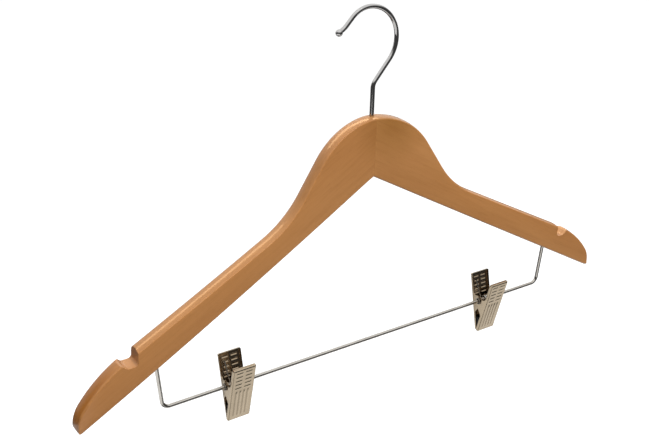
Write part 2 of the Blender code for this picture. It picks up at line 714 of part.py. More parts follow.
def jaw_sheet():
    """Outer face of a jaw as one open sheet: plate, flanges with ears, return and lip.

    The folds meet at the corners, as they do on a drawn part. The sheet stands upright in
    front of the pivot; depth runs back towards the pivot.
    """
    columns = jaw_columns()
    rows = jaw_rows()
    flank = folded(columns[-1], 1, [None])
    across = [(-along, depth) for along, depth in reversed(flank)]
    across += [(mark, 0.0) for mark in columns] + flank
    upward = list(reversed(folded(rows[0], -1, [LIP_DEPTH])))
    upward += [(mark, 0.0) for mark in rows] + folded(rows[-1], 1, [TOP_RETURN])
    fold = len(flank)
    bm = bmesh.new()
    bmesh.ops.create_grid(bm, x_segments=len(across) - 1, y_segments=len(upward) - 1, size=0.5)
    spare = []
    net = {}
    for vert in bm.verts:
        i = round((vert.co.x + 0.5) * (len(across) - 1))
        j = round((vert.co.y + 0.5) * (len(upward) - 1))
        net[i, j] = vert
        x, side_depth = across[i]
        z, end_depth = upward[j]
        side_fold = i < fold or i >= len(across) - fold
        end_fold = j < fold or j >= len(upward) - fold
        if side_fold and end_fold:
            spare.append(vert)
        if side_depth is None:
            side_depth = flange_depth(z)
        raised = 0.0 if side_fold or end_fold else relief(x, z)
        vert.co = (x, -JAW_STANDOFF + side_depth + end_depth - raised, z)
    bmesh.ops.delete(bm, geom=spare, context="VERTS")
    for i, side_way in ((fold, -1), (len(across) - 1 - fold, 1)):
        for j, end_way in ((fold, -1), (len(upward) - 1 - fold, 1)):
            side_run = [net[i + side_way * k, j] for k in range(1, fold + 1)]
            end_run = [net[i, j + end_way * k] for k in range(1, fold + 1)]
            bm.faces.new((net[i, j], side_run[0], end_run[0]))
            for k in range(fold - 1):
                bm.faces.new((side_run[k], side_run[k + 1], end_run[k + 1], end_run[k]))
    bmesh.ops.recalc_face_normals(bm, faces=bm.faces)
    outward = sum((face.normal.y * face.calc_area() for face in bm.faces), 0.0)
    if outward > 0:
        bmesh.ops.reverse_faces(bm, faces=bm.faces)
    mesh = bpy.data.meshes.new("jaw_sheet")
    bm.to_mesh(mesh)
    bm.free()
    return mesh


def jaw_mesh():
    """The sheet with its thickness and the pivot holes through both ears."""
    jaw = bpy.data.objects.new("jaw", jaw_sheet())
    hole = bpy.data.objects.new("jaw_hole", cylinder_mesh(
        "jaw_hole", EAR_HOLE_RADIUS, -JAW_WIDTH, JAW_WIDTH, sides=20, axis="X"))
    for item in (jaw, hole):
        bpy.context.scene.collection.objects.link(item)
    wall = jaw.modifiers.new("thickness", "SOLIDIFY")
    wall.thickness = SHEET
    wall.offset = -1
    wall.use_even_offset = True
    boolean(jaw, hole)
    mesh = evaluated_mesh(jaw)
    for item in (jaw, hole):
        bpy.data.objects.remove(item)
    bm = bmesh.new()
    bm.from_mesh(mesh)
    bmesh.ops.dissolve_limit(bm, angle_limit=math.radians(0.6), verts=bm.verts, edges=bm.edges)
    bm.to_mesh(mesh)
    bm.free()
    mesh.name = "jaw"
    smooth(mesh, 30)
    return mesh


def pad_mesh():
    """Rubber pad behind a jaw's lip; its gripping face is parallel to the other jaw's."""
    def face_depth(height):
        return (height * math.sin(JAW_TILT) - FIT / 2) / math.cos(JAW_TILT)
    low = -JAW_BELOW + SHEET + FIT + JAW_FOLD_RADIUS
    high = low + PAD_HEIGHT
    back = -JAW_STANDOFF + SHEET + FIT
    outline = [(back, low), (back, high), (face_depth(high), high), (face_depth(low), low)]
    mesh = slab_mesh("pad", outline, JAW_WIDTH - 2 * (SHEET + FIT))
    mesh.transform(Matrix(((0, 0, 1, 0), (1, 0, 0, 0), (0, 1, 0, 0), (0, 0, 0, 1))))
    return mesh


def tube_object(name, material, collection, parent):
    """Rolled tube that pins both jaws together and slides on the bar."""
    rim = TUBE_HALF - TUBE_RIM_LENGTH
    profile = [
        (TUBE_INNER, TUBE_HALF), (TUBE_OUTER + TUBE_RIM, TUBE_HALF),
        (TUBE_OUTER + TUBE_RIM, rim), (TUBE_OUTER, rim),
        (TUBE_OUTER, -rim), (TUBE_OUTER + TUBE_RIM, -rim),
        (TUBE_OUTER + TUBE_RIM, -TUBE_HALF), (TUBE_INNER, -TUBE_HALF),
    ]
    bm = bmesh.new()
    verts = [bm.verts.new((radius, 0, height)) for radius, height in profile]
    for one, two in zip(verts, verts[1:] + verts[:1]):
        bm.edges.new((one, two))
    mesh = bpy.data.meshes.new(name)
    bm.to_mesh(mesh)
    bm.free()
    tube = new_object(name, mesh, collection, parent, material, rotation=(0, math.radians(90), 0))
    turn = tube.modifiers.new("turned", "SCREW")
    turn.axis = "Z"
    turn.steps = 20
    turn.render_steps = 20
    turn.merge_threshold = 0.00001
    turn.use_merge_vertices = True
    return tube


def spring_path():
    """Torsion spring round the tube: front leg, close turns, rear leg."""
    plate = JAW_STANDOFF / math.cos(JAW_TILT) + SPRING_LEG_HEIGHT * math.tan(JAW_TILT)
    reach = plate - (SHEET + FIT + SPRING_WIRE / 2) / math.cos(JAW_TILT) - FIT
    front_tip = Vector((-reach, SPRING_LEG_HEIGHT))
    leave = tangent_angle(front_tip, (0, 0), SPRING_RADIUS, 1)
    first = leave % TURN
    last = (math.pi - leave) % TURN
    while last < first:
        last += TURN
    last += SPRING_TURNS * TURN
    steps = round((last - first) / TURN * 10)
    width = SPRING_PITCH * (last - first) / TURN
    points = []
    start = SPRING_RADIUS * Vector((math.cos(first), math.sin(first)))
    for share in (0, 0.5):
        spot = front_tip.lerp(start, share)
        points.append((width / 2, spot.x, spot.y))
    for k in range(steps + 1):
        angle = first + (last - first) * k / steps
        points.append((
            width / 2 - width * k / steps, SPRING_RADIUS * math.cos(angle), SPRING_RADIUS * math.sin(angle)))
    end = Vector((points[-1][1], points[-1][2]))
    for share in (0.5, 1):
        spot = end.lerp(Vector((reach, SPRING_LEG_HEIGHT)), share)
        points.append((-width / 2, spot.x, spot.y))
    return points


def least_gap(points, wire):
    """Smallest space between parts of a wire that aren't neighbours along it."""
    least = math.inf
    for i, one in enumerate(points):
        travelled = 0.0
        for k in range(i + 1, len(points)):
            travelled += math.dist(points[k - 1], points[k])
            if travelled > 4 * wire:
                least = min(least, math.dist(one, points[k]) - wire)
    return least


def make_clip(side, centre_x, collection, parent, materials, jaw, pad):
    """One clip: tube on the bar, two like jaws turned to face each other, spring, pads."""
    place = (centre_x, valley(BAR_HOLE_X), -BAR_DROP)
    pivot = new_empty(side + "_clip_pivot", collection, place, parent)
    tube_object(side + "_pivot_tube", materials["steel"], collection, pivot)
    for name, shift, turn in (("front", -JAW_OFFSET, 0), ("rear", JAW_OFFSET, math.pi)):
        rotation = (JAW_TILT, 0, turn)
        new_object(
            side + "_" + name + "_jaw", jaw, collection, pivot, materials["nickel"],
            location=(shift, 0, 0), rotation=rotation)
        new_object(
            side + "_" + name + "_pad", pad, collection, pivot, materials["rubber"],
            location=(shift, 0, 0), rotation=rotation)
    path = spring_path()
    wire_object(side + "_spring", path, SPRING_WIRE / 2, materials["spring"], collection, pivot, sides=6)
    return path


def main():
    clear_scene()
    parts = new_collection("clip_hanger")
    cutters = new_collection("cutters")
    materials = {
        "wood": new_material("lacquered_wood", (0.42, 0.20, 0.075), 0.35, 0.0),
        "chrome": new_material("chrome_wire", (0.55, 0.54, 0.52), 0.12, 1.0),
        "nickel": new_material("nickel_sheet", (0.52, 0.47, 0.40), 0.28, 1.0),
        "steel": new_material("plated_steel", (0.50, 0.49, 0.47), 0.30, 1.0),
        "spring": new_material("spring_wire", (0.45, 0.44, 0.42), 0.30, 1.0),
        "rubber": new_material("black_rubber", (0.012, 0.012, 0.012), 0.7, 0.0),
    }
    tips = new_empty("tips_level", parts, (0, 0, -SEAT_HEIGHT))
    make_arms(parts, cutters, tips, materials["wood"])
    make_hook(parts, tips, materials["chrome"])
    make_hook_fixings(parts, tips, materials["steel"])
    make_bar(parts, tips, materials["chrome"])
    jaw = jaw_mesh()
    pad = pad_mesh()
    for side, centre_x in (("left", LEFT_CLIP_X), ("right", RIGHT_CLIP_X)):
        path = make_clip(side, centre_x, parts, tips, materials, jaw, pad)
    print(f"spring's least gap to itself: {least_gap(path, SPRING_WIRE) * 1000:.2f} mm")
    bend_start = BAR_CORNER_X - BAR_CORNER_RADIUS
    print(f"clip pivot at y {valley(BAR_HOLE_X):.5f}, z {-BAR_DROP - SEAT_HEIGHT:.5f}")
    print(f"clips can slide out to {bend_start - TUBE_HALF:.4f} from the bar's middle and in to {TUBE_HALF:.4f}")


main()
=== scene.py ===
# %% [markdown]
# # A wooden clip hanger
# Two curved arms of lacquered wood meet under a chromed hook that swivels. A bent wire bar
# hangs below them and carries two sliding clips of pressed, nickel-plated sheet. This
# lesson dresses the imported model, which fixes every size and joint, with finer shapes and
# with finishes made from nodes.

# %% Load the frame
import math

import bmesh
import bpy
from mathutils import Matrix, Vector


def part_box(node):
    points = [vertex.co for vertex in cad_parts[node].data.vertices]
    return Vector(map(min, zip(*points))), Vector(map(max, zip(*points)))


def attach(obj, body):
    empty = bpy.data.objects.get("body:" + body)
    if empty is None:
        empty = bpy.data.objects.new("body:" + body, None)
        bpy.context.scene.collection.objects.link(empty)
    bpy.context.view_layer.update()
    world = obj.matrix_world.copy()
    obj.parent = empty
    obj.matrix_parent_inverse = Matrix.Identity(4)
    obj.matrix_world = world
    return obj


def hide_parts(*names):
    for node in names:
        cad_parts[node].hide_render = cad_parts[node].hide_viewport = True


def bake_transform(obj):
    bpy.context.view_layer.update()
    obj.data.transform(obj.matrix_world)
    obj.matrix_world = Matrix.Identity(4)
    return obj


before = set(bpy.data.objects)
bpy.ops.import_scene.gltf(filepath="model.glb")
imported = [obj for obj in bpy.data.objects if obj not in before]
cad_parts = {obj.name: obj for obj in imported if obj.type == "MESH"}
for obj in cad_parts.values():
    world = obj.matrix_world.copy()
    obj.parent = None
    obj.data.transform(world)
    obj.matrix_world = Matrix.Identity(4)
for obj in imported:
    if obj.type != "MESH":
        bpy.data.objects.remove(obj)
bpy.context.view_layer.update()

# %% [markdown]
# ## Heights and sizes
# The model's origin is where the hook sits on a rail. The real maker measures from the tips
# of the arms instead, so the sizes below are heights above the tips, and one offset moves
# each finished mesh into the model's frame. A named value is easier to change, and to
# understand, than a number in the middle of a formula.

# %% Sizes of the wood
HALF_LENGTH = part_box("right_arm")[1].x
BOARD_THICKNESS = 0.0120
APEX_HEIGHT = 0.1221
CROWN_HEIGHT = 0.1639
CROWN_RADIUS = 0.0525
FLANK_ANGLE = math.radians(55.9)
NECK_RADIUS = 0.0760
NOTCH_X = 0.1797
ARM_DEPTH = 0.0236
ARM_TAPER = math.radians(1.6)
TIP_SWEEP = math.radians(25)
TIP_SWEEP_RADIUS = 0.0900
NOSE_RADIUS = 0.0220
TIP_CORNER = 0.0024
TIP_FLAT = math.radians(12)
VALLEY_SLOPE = math.tan(math.radians(4.7))
VALLEY_BLEND = 0.0060
BACK_ROUND = 0.0045
FRONT_ROUND = 0.0010
FRONT_DOME = math.radians(16)
BOTTOM_ROUND = 0.0013
TIP_ROUND = 0.0042
UNDERSIDE_ANGLE = math.atan2(APEX_HEIGHT, HALF_LENGTH)
ARM_ANGLE = UNDERSIDE_ANGLE - ARM_TAPER
LOOP_CENTRE = Vector((-0.0046, CROWN_HEIGHT + 0.0507))
LOOP_RADIUS = 0.0220
HOOK_WIRE = 0.0015
TIPS_Z = -(LOOP_CENTRE.y + math.sqrt((LOOP_RADIUS - HOOK_WIRE) ** 2 - LOOP_CENTRE.x ** 2))
print(f"tips at z {TIPS_Z:.4f}, half length {HALF_LENGTH:.4f}")

# %% [markdown]
# ## Node trees in a few words
# A material and a sweep are both small graphs. Three helpers keep them readable: one adds a
# node and fills its sockets, one starts a material, and one reads a texture on coordinates
# that are turned and stretched, which is how wood gets its long grain.

# %% Helpers for nodes
def add_node(tree, kind, values=None, **settings):
    """A new node with its settings, and its sockets set to values or linked to outputs."""
    node = tree.nodes.new(kind)
    for name, value in settings.items():
        setattr(node, name, value)
    for name, value in (values or {}).items():
        if isinstance(value, bpy.types.NodeSocket):
            tree.links.new(value, node.inputs[name])
        else:
            node.inputs[name].default_value = value
    return node


def start_material(name, roughness, metallic=0.0):
    material = bpy.data.materials.new(name)
    material.use_nodes = True
    shader = material.node_tree.nodes["Principled BSDF"]
    shader.inputs["Roughness"].default_value = roughness
    shader.inputs["Metallic"].default_value = metallic
    return material, material.node_tree, shader


def noise(tree, vector, scale, detail=3.0, roughness=0.5, distortion=0.0):
    return add_node(tree, "ShaderNodeTexNoise", {
        "Vector": vector, "Scale": scale, "Detail": detail, "Roughness": roughness,
        "Distortion": distortion}).outputs["Fac"]


def ramp(tree, factor, stops):
    """A colour ramp through (position, linear colour) stops."""
    node = add_node(tree, "ShaderNodeValToRGB", {"Fac": factor})
    elements = node.color_ramp.elements
    while len(elements) < len(stops):
        elements.new(0.5)
    for element, (position, colour) in zip(elements, stops):
        element.position = position
        element.color = (*colour, 1.0)
    return node.outputs["Color"]


def mix(tree, factor, first, second, blend="MIX"):
    node = tree.nodes.new("ShaderNodeMix")
    node.data_type = "RGBA"
    node.blend_type = blend
    for socket, value in ((node.inputs[0], factor), (node.inputs[6], first), (node.inputs[7], second)):
        if isinstance(value, bpy.types.NodeSocket):
            tree.links.new(value, socket)
        elif isinstance(value, tuple):
            socket.default_value = (*value, 1.0)
        else:
            socket.default_value = value
    return node.outputs[2]


def soft_step(tree, value, start, end, low=0.0, high=1.0):
    """From low to high as value goes from start to end; start may be the larger."""
    return add_node(tree, "ShaderNodeMapRange", {
        "Value": value, "From Min": start, "From Max": end, "To Min": low, "To Max": high},
        interpolation_type="SMOOTHSTEP").outputs["Result"]


def maths(tree, operation, first, second):
    return add_node(tree, "ShaderNodeMath", {0: first, 1: second}, operation=operation).outputs[0]


def bump(tree, shader, height, distance, strength=1.0):
    made = add_node(tree, "ShaderNodeBump", {"Height": height, "Distance": distance, "Strength": strength})
    tree.links.new(made.outputs["Normal"], shader.inputs["Normal"])


# %% [markdown]
# ## Lacquered wood
# Each arm is sawn from a straight board, so its grain runs straight along the arm while the
# outline curves across it. A picture of wood would show its seams and pixels up close, and
# noise has neither. Object coordinates are turned by the arm's slope and squeezed along the
# grain, so that one noise gives long fibres, another the slow change across a board, and a
# fine one the short dark flecks of this pale hardwood. Two soft zones are painted darker and
# more golden as painted shade: a spot on the front of the crown just right of the hook, and
# the noses of both arms. A clear coat on top makes the highlight sharp while the wood under
# it stays soft.

# %% Wood finish
PLAIN = (1.0, 1.0, 1.0)
BOARD_TONES = [(0.25, (0.370, 0.152, 0.040)), (0.52, (0.425, 0.188, 0.056)), (0.78, (0.460, 0.210, 0.067))]
FIBRE_TONES = [(0.28, (0.90, 0.87, 0.83)), (0.52, PLAIN), (0.75, (1.04, 1.04, 1.04))]
FLECK_TONES = [(0.33, (0.80, 0.76, 0.70)), (0.40, PLAIN)]
# painted shade: a darker, more golden spot on the front of the crown, right of the hook
CROWN_SHADE_PLACE = (0.014, -0.006, CROWN_HEIGHT + TIPS_Z - 0.004)
CROWN_SHADE_TONES = [(0.004, (0.70, 0.66, 0.44)), (0.034, PLAIN)]   # by distance in metres
# painted shade: the noses of both arms darker and more golden
NOSE_SHADE_TONE = (0.86, 0.72, 0.34)
NOSE_SHADE_REACH = (0.184, 0.206)
NOSE_SHADE_EDGES = ((-0.0145, -0.0130), (-0.0030, -0.0050))


def wood_grain(tree, place, slope, seed):
    """The wood's colour, and the fibres, which give the bump too."""
    turned = add_node(tree, "ShaderNodeMapping", {
        "Vector": place, "Rotation": (0.0, slope, 0.0),
        "Location": (seed, seed * 0.7, 0.0)}).outputs["Vector"]

    def stretched(along, across):
        return add_node(tree, "ShaderNodeMapping", {
            "Vector": turned, "Scale": (along, across, across)}).outputs["Vector"]

    boards = noise(tree, stretched(5, 28), 1.0, 2.0, 0.5, 0.4)
    fibres = noise(tree, stretched(14, 420), 1.0, 4.0, 0.6, 0.3)
    flecks = noise(tree, stretched(150, 1500), 1.0, 2.0, 0.5)
    colour = mix(tree, 0.8, ramp(tree, boards, BOARD_TONES), ramp(tree, fibres, FIBRE_TONES), "MULTIPLY")
    return mix(tree, 0.3, colour, ramp(tree, flecks, FLECK_TONES), "MULTIPLY"), fibres


def with_painted_shade(tree, place, colour):
    """The colour with painted shade: darker and more golden on a spot of the crown's front and on the noses.
    """
    # painted shade on the crown's front, by distance from one spot
    away = add_node(tree, "ShaderNodeVectorMath", {0: place, 1: CROWN_SHADE_PLACE}, operation="DISTANCE")
    colour = mix(tree, 0.9, colour, ramp(tree, away.outputs["Value"], CROWN_SHADE_TONES), "MULTIPLY")
    spot = add_node(tree, "ShaderNodeSeparateXYZ", {"Vector": place}).outputs
    # painted shade on the noses of both arms, faded out towards the front and back of the board
    nose = soft_step(tree, maths(tree, "ABSOLUTE", spot["X"], 0.0), *NOSE_SHADE_REACH)
    for edge in NOSE_SHADE_EDGES:
        nose = maths(tree, "MULTIPLY", nose, soft_step(tree, spot["Y"], *edge))
    return mix(tree, nose, colour, NOSE_SHADE_TONE, "MULTIPLY")


def lacquered_wood(name, slope, seed):
    material, tree, shader = start_material(name, 0.45)
    place = add_node(tree, "ShaderNodeTexCoord").outputs["Object"]
    colour, fibres = wood_grain(tree, place, slope, seed)
    tree.links.new(with_painted_shade(tree, place, colour), shader.inputs["Base Color"])
    shader.inputs["Specular IOR Level"].default_value = 0.3
    shader.inputs["Coat Weight"].default_value = 0.6
    shader.inputs["Coat Roughness"].default_value = 0.11
    shader.inputs["Coat IOR"].default_value = 1.45
    bump(tree, shader, fibres, 0.00004, 0.12)
    return material


wood = {
    "left": lacquered_wood("lacquered_wood_left", UNDERSIDE_ANGLE, 0.31),
    "right": lacquered_wood("lacquered_wood_right", -UNDERSIDE_ANGLE, 0.83),
}
print("wood:", ", ".join(material.name for material in wood.values()))

# %% [markdown]
# ## Plated metals and rubber
# Plating mirrors its surroundings, so it needs little colour. What makes it real is a
# roughness that varies a little, faint drawing or rolling marks, and a warm tone on the
# nickel. One function serves all the metals, because they differ only in tone, roughness
# and the direction of their marks. The inside of the pressed jaws gets a darker copy of the
# nickel, which is painted shade for the hollow between the jaws.

# %% Metal and rubber finishes
def plated_metal(name, tone, roughness, marks, mark_depth, dull=0.08):
    """marks is the texture's stretch along X, Y and Z, per metre."""
    material, tree, shader = start_material(name, roughness, 1.0)
    place = add_node(tree, "ShaderNodeTexCoord").outputs["Object"]
    rolled = add_node(tree, "ShaderNodeMapping", {"Vector": place, "Scale": marks}).outputs["Vector"]
    streaks = noise(tree, rolled, 1.0, 4.0, 0.6)
    smudges = noise(tree, place, 90.0, 3.0, 0.55)
    shade = tuple(part * 0.86 for part in tone)
    tree.links.new(ramp(tree, smudges, [(0.3, shade), (0.65, tone)]), shader.inputs["Base Color"])
    spread = add_node(tree, "ShaderNodeMapRange", {
        "Value": smudges, "From Min": 0.3, "From Max": 0.7, "To Min": roughness,
        "To Max": roughness + dull}).outputs["Result"]
    tree.links.new(spread, shader.inputs["Roughness"])
    bump(tree, shader, streaks, mark_depth, 0.4)
    return material


def grip_rubber(name):
    material, tree, shader = start_material(name, 0.62)
    place = add_node(tree, "ShaderNodeTexCoord").outputs["Object"]
    grains = noise(tree, place, 2600.0, 3.0, 0.6)
    bloom = noise(tree, place, 160.0, 2.0)
    colour = ramp(tree, bloom, [(0.3, (0.010, 0.010, 0.010)), (0.7, (0.026, 0.025, 0.024))])
    tree.links.new(colour, shader.inputs["Base Color"])
    bump(tree, shader, grains, 0.00005, 0.6)
    return material


finish = {
    "chrome": plated_metal("chromed_wire", (0.62, 0.61, 0.60), 0.08, (300.0, 300.0, 40.0), 0.000006, 0.05),
    "bar": plated_metal("plated_bar", (0.66, 0.63, 0.58), 0.10, (30.0, 500.0, 500.0), 0.000006, 0.06),
    "nickel": plated_metal("nickel_sheet", (0.58, 0.475, 0.34), 0.22, (900.0, 900.0, 60.0), 0.000008, 0.06),
    # painted shade: a darker copy of the nickel for the inner walls and cut edges of the jaws
    "inside": plated_metal("nickel_inside_painted_shade", (0.40, 0.31, 0.21), 0.09, (900.0, 900.0, 60.0), 0.000008, 0.06),
    "steel": plated_metal("zinc_steel", (0.36, 0.32, 0.27), 0.20, (400.0, 400.0, 400.0), 0.00001),
    "spring": plated_metal("spring_wire", (0.66, 0.64, 0.60), 0.14, (400.0, 400.0, 400.0), 0.00001),
    "rubber": grip_rubber("grip_rubber"),
}
print("finishes:", ", ".join(sorted(finish)))

# %% [markdown]
# ## Putting a piece in place
# Every piece is a plain mesh whose object stays at the origin, unturned and unscaled. The
# piece then rides on the body that it belongs to, and the part of the imported model that
# it stands for is hidden.

# %% Helper for pieces
def smooth(mesh, angle=35):
    mesh.shade_smooth()
    mesh.set_sharp_from_angle(angle=math.radians(angle))


def as_mesh(name, bm, merge=0.0):
    if merge:
        bmesh.ops.remove_doubles(bm, verts=bm.verts, dist=merge)
    bmesh.ops.recalc_face_normals(bm, faces=bm.faces)
    mesh = bpy.data.meshes.new(name)
    bm.to_mesh(mesh)
    bm.free()
    return mesh


def new_object(name, mesh):
    item = bpy.data.objects.new(name, mesh)
    bpy.context.scene.collection.objects.link(item)
    return item


def applied(item):
    """The item's mesh with its modifiers applied; the item itself is removed."""
    graph = bpy.context.evaluated_depsgraph_get()
    mesh = bpy.data.meshes.new_from_object(item.evaluated_get(graph))
    bpy.data.objects.remove(item)
    return mesh


def cut(mesh, cutters):
    """The mesh less each cutter mesh."""
    item = new_object("work", mesh)
    tools = [new_object("tool", cutter) for cutter in cutters]
    for tool in tools:
        step = item.modifiers.new("cut", "BOOLEAN")
        step.operation = "DIFFERENCE"
        step.solver = "EXACT"
        step.object = tool
    result = applied(item)
    for tool in tools:
        bpy.data.objects.remove(tool)
    return result


def finish_piece(name, mesh, material, body, node, angle=35):
    """Dress a mesh, hang it on its body and hide the model's part; with no material it keeps its own."""
    mesh.name = name
    if material:
        mesh.materials.clear()
        mesh.materials.append(material)
    smooth(mesh, angle)
    piece = new_object(name, mesh)
    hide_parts(node)
    if body:
        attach(piece, body)
    print(f"{name}: {len(mesh.polygons)} faces")
    return piece


# %% [markdown]
# ## Outlines with rounded corners
# The arms, the notches, the hook and the bar are all drawn the way a designer dimensions
# them: straight runs through named corners, each corner rounded by its own radius. One
# helper turns such corners into points.

# %% Rounded outlines
QUARTER = math.radians(90)


def spread(first, last, steps):
    """Values at even steps from first to last."""
    return [first + (last - first) * k / steps for k in range(steps + 1)]


def fillet_path(corners, step=math.radians(3)):
    """Points along straight runs through corners (x, y, radius), rounded by arcs."""
    spots = [Vector(corner[:2]) for corner in corners]
    ways = [(after - before).normalized() for before, after in zip(spots, spots[1:])]
    reach = [0.0] * len(corners)
    turns = [0.0] * len(corners)
    for i in range(1, len(corners) - 1):
        before, after = ways[i - 1:i + 1]
        turns[i] = math.atan2(before.x * after.y - before.y * after.x, before.dot(after))
        reach[i] = corners[i][2] * math.tan(abs(turns[i]) / 2)
    share = [1.0] * len(corners)
    for i in range(len(corners) - 1):
        room = (spots[i + 1] - spots[i]).length * 0.999
        need = reach[i] + reach[i + 1]
        if need > room:
            share[i] = min(share[i], room / need)
            share[i + 1] = min(share[i + 1], room / need)
    points = [tuple(spots[0])]
    for i in range(1, len(corners) - 1):
        if reach[i] == 0:
            points.append(tuple(spots[i]))
            continue
        before = ways[i - 1]
        radius = corners[i][2] * share[i]
        start = spots[i] - before * reach[i] * share[i]
        side = math.copysign(1, turns[i])
        centre = start + Vector((-before.y, before.x)) * radius * side
        first = math.atan2(start.y - centre.y, start.x - centre.x)
        steps = max(2, 2 * round(abs(turns[i]) / step / 2))
        for k in range(steps + 1):
            angle = first + turns[i] * k / steps
            points.append((centre.x + radius * math.cos(angle), centre.y + radius * math.sin(angle)))
    points.append(tuple(spots[-1]))
    return points


def divide_runs(points, longest):
    result = [points[0]]
    for start, end in zip(points, points[1:]):
        count = max(1, math.ceil(math.dist(start, end) / longest))
        for k in range(1, count + 1):
            result.append(tuple(a + (b - a) * k / count for a, b in zip(start, end)))
    return result


def spaced(points, least):
    result = points[:1]
    for point in points[1:]:
        if math.dist(point, result[-1]) >= least:
            result.append(point)
    return result


# %% Solids from outlines
def join_rings(bm, rings):
    """Faces between neighbouring closed rings of points."""
    for one, two in zip(rings, rings[1:]):
        for k in range(len(one)):
            n = (k + 1) % len(one)
            bm.faces.new((one[k], one[n], two[n], two[k]))


def slab(outline, low, high, lay):
    """A flat outline given a depth; lay turns (a, b, depth) into (x, y, z)."""
    bm = bmesh.new()
    rings = [[bm.verts.new(lay(a, b, depth)) for a, b in outline] for depth in (low, high)]
    bm.faces.new(rings[0])
    bm.faces.new(rings[1])
    join_rings(bm, rings)
    return as_mesh("slab", bm)


def rod(radius, low, high, sides=48):
    bm = bmesh.new()
    bmesh.ops.create_cone(bm, cap_ends=True, segments=sides, radius1=radius, radius2=radius, depth=high - low,
                          matrix=Matrix.Translation((0, 0, (high + low) / 2)))
    return as_mesh("rod", bm)


# %% [markdown]
# ## The arms
# A wooden hanger's arm is band-sawn to its outline and then run past cutters. The top is
# gently domed so that a shirt's shoulder lies softly, the front keeps a tight edge, which
# draws the sharp line in the photograph, and the back edge is well rounded. A bevel gives
# every edge one shape, so the board is a loft of sections instead, one for each point of the
# upper outline. The sections of both arms stand on one curve, so the front forms the shallow
# valley that follows a wearer's back.

# %% Board outline
LEAST_RUN = 0.0004
print(f"slopes: top {math.degrees(ARM_ANGLE):.1f}, underside {math.degrees(UNDERSIDE_ANGLE):.1f} degrees")


def underside(x):
    return APEX_HEIGHT - abs(x) * math.tan(UNDERSIDE_ANGLE)


def arm_line(x):
    return underside(NOTCH_X) + ARM_DEPTH + (NOTCH_X - abs(x)) * math.tan(ARM_ANGLE)


def valley(x):
    across = math.hypot(x, VALLEY_BLEND) - VALLEY_BLEND
    return -VALLEY_SLOPE * (across - across ** 2 / (2 * HALF_LENGTH))


def crossing(height_1, slope_1, height_2, slope_2, x_2=0.0):
    """Where a line through (0, height_1) meets one through (x_2, height_2)."""
    x = (height_2 - height_1 - slope_2 * x_2) / (slope_1 - slope_2)
    return x, height_1 + slope_1 * x


def tip_reach():
    return TIP_CORNER * math.tan((QUARTER + UNDERSIDE_ANGLE) / 2)


def tip_arc(first, last, steps=9):
    """Points and outward directions on the small rounding at the tip's lowest corner."""
    result = []
    for angle in spread(first, last, steps):
        away = Vector((math.cos(angle), -math.sin(angle)))
        place = (HALF_LENGTH - TIP_CORNER + TIP_CORNER * away.x, tip_reach() + TIP_CORNER * away.y)
        result.append((place, away))
    return result


def upper_outline(longest=0.003):
    peak = CROWN_HEIGHT - CROWN_RADIUS + CROWN_RADIUS / math.cos(FLANK_ANGLE)
    arm_slope = -math.tan(ARM_ANGLE)
    neck = crossing(peak, -math.tan(FLANK_ANGLE), arm_line(0), arm_slope)
    sweep_angle = ARM_ANGLE + TIP_SWEEP
    nose = tip_reach() + NOSE_RADIUS * math.tan((QUARTER - sweep_angle) / 2)
    sweep = crossing(arm_line(0), arm_slope, nose, -math.tan(sweep_angle), HALF_LENGTH)
    corners = [
        (-neck[0], neck[1], 0), (0, peak, CROWN_RADIUS), (*neck, NECK_RADIUS),
        (*sweep, TIP_SWEEP_RADIUS), (HALF_LENGTH, nose, NOSE_RADIUS), (HALF_LENGTH, tip_reach(), 0)]
    end = corners[-1][:2]
    path = fillet_path(corners, math.radians(2.5))
    path = spaced([point for point in path if point[0] > -0.00001], LEAST_RUN)
    return divide_runs([point for point in path if math.dist(point, end) > LEAST_RUN] + [end], longest)


def foot_positions(tops):
    """Where each section meets the underside; round the nose the sections fan out."""
    fan = next(index for index, top in enumerate(tops) if top[0] > HALF_LENGTH - NOSE_RADIUS)
    runs = [0.0]
    for before, after in zip(tops[fan:], tops[fan + 1:]):
        runs.append(runs[-1] + math.dist(before, after))
    start = tops[fan][0]
    end = HALF_LENGTH - tip_reach() * math.cos(UNDERSIDE_ANGLE)
    return [top[0] for top in tops[:fan]] + [start + (end - start) * run / runs[-1] for run in runs]


# %% Board sections
TIP_ROUND_START = 0.020
TIP_ROUND_RUN = 0.016
EDGE_SHARE = 0.45       # the most of a section's depth that one edge may take
BACK_SHARE = 0.50


def plain_edge(radius, steps):
    """Places (across, drop) on a rounded edge, from the board's side to its top."""
    return [(BOARD_THICKNESS / 2 - radius + radius * math.cos(a), radius - radius * math.sin(a))
            for a in spread(0, QUARTER, steps)]


def domed_edge(radius, dome, steps):
    """The same for a tight edge that runs into a gently domed top."""
    start = BOARD_THICKNESS / 2 - radius + radius * math.sin(dome)
    bow = start / math.sin(dome)
    fall = bow * (1 - math.cos(dome))
    edge = [(start + radius * (math.sin(a) - math.sin(dome)), fall + radius * (math.cos(dome) - math.cos(a)))
            for a in spread(QUARTER, dome, steps)]
    return edge + [(bow * math.sin(a), bow * (1 - math.cos(a))) for a in spread(dome, 0, steps)[1:-1]]


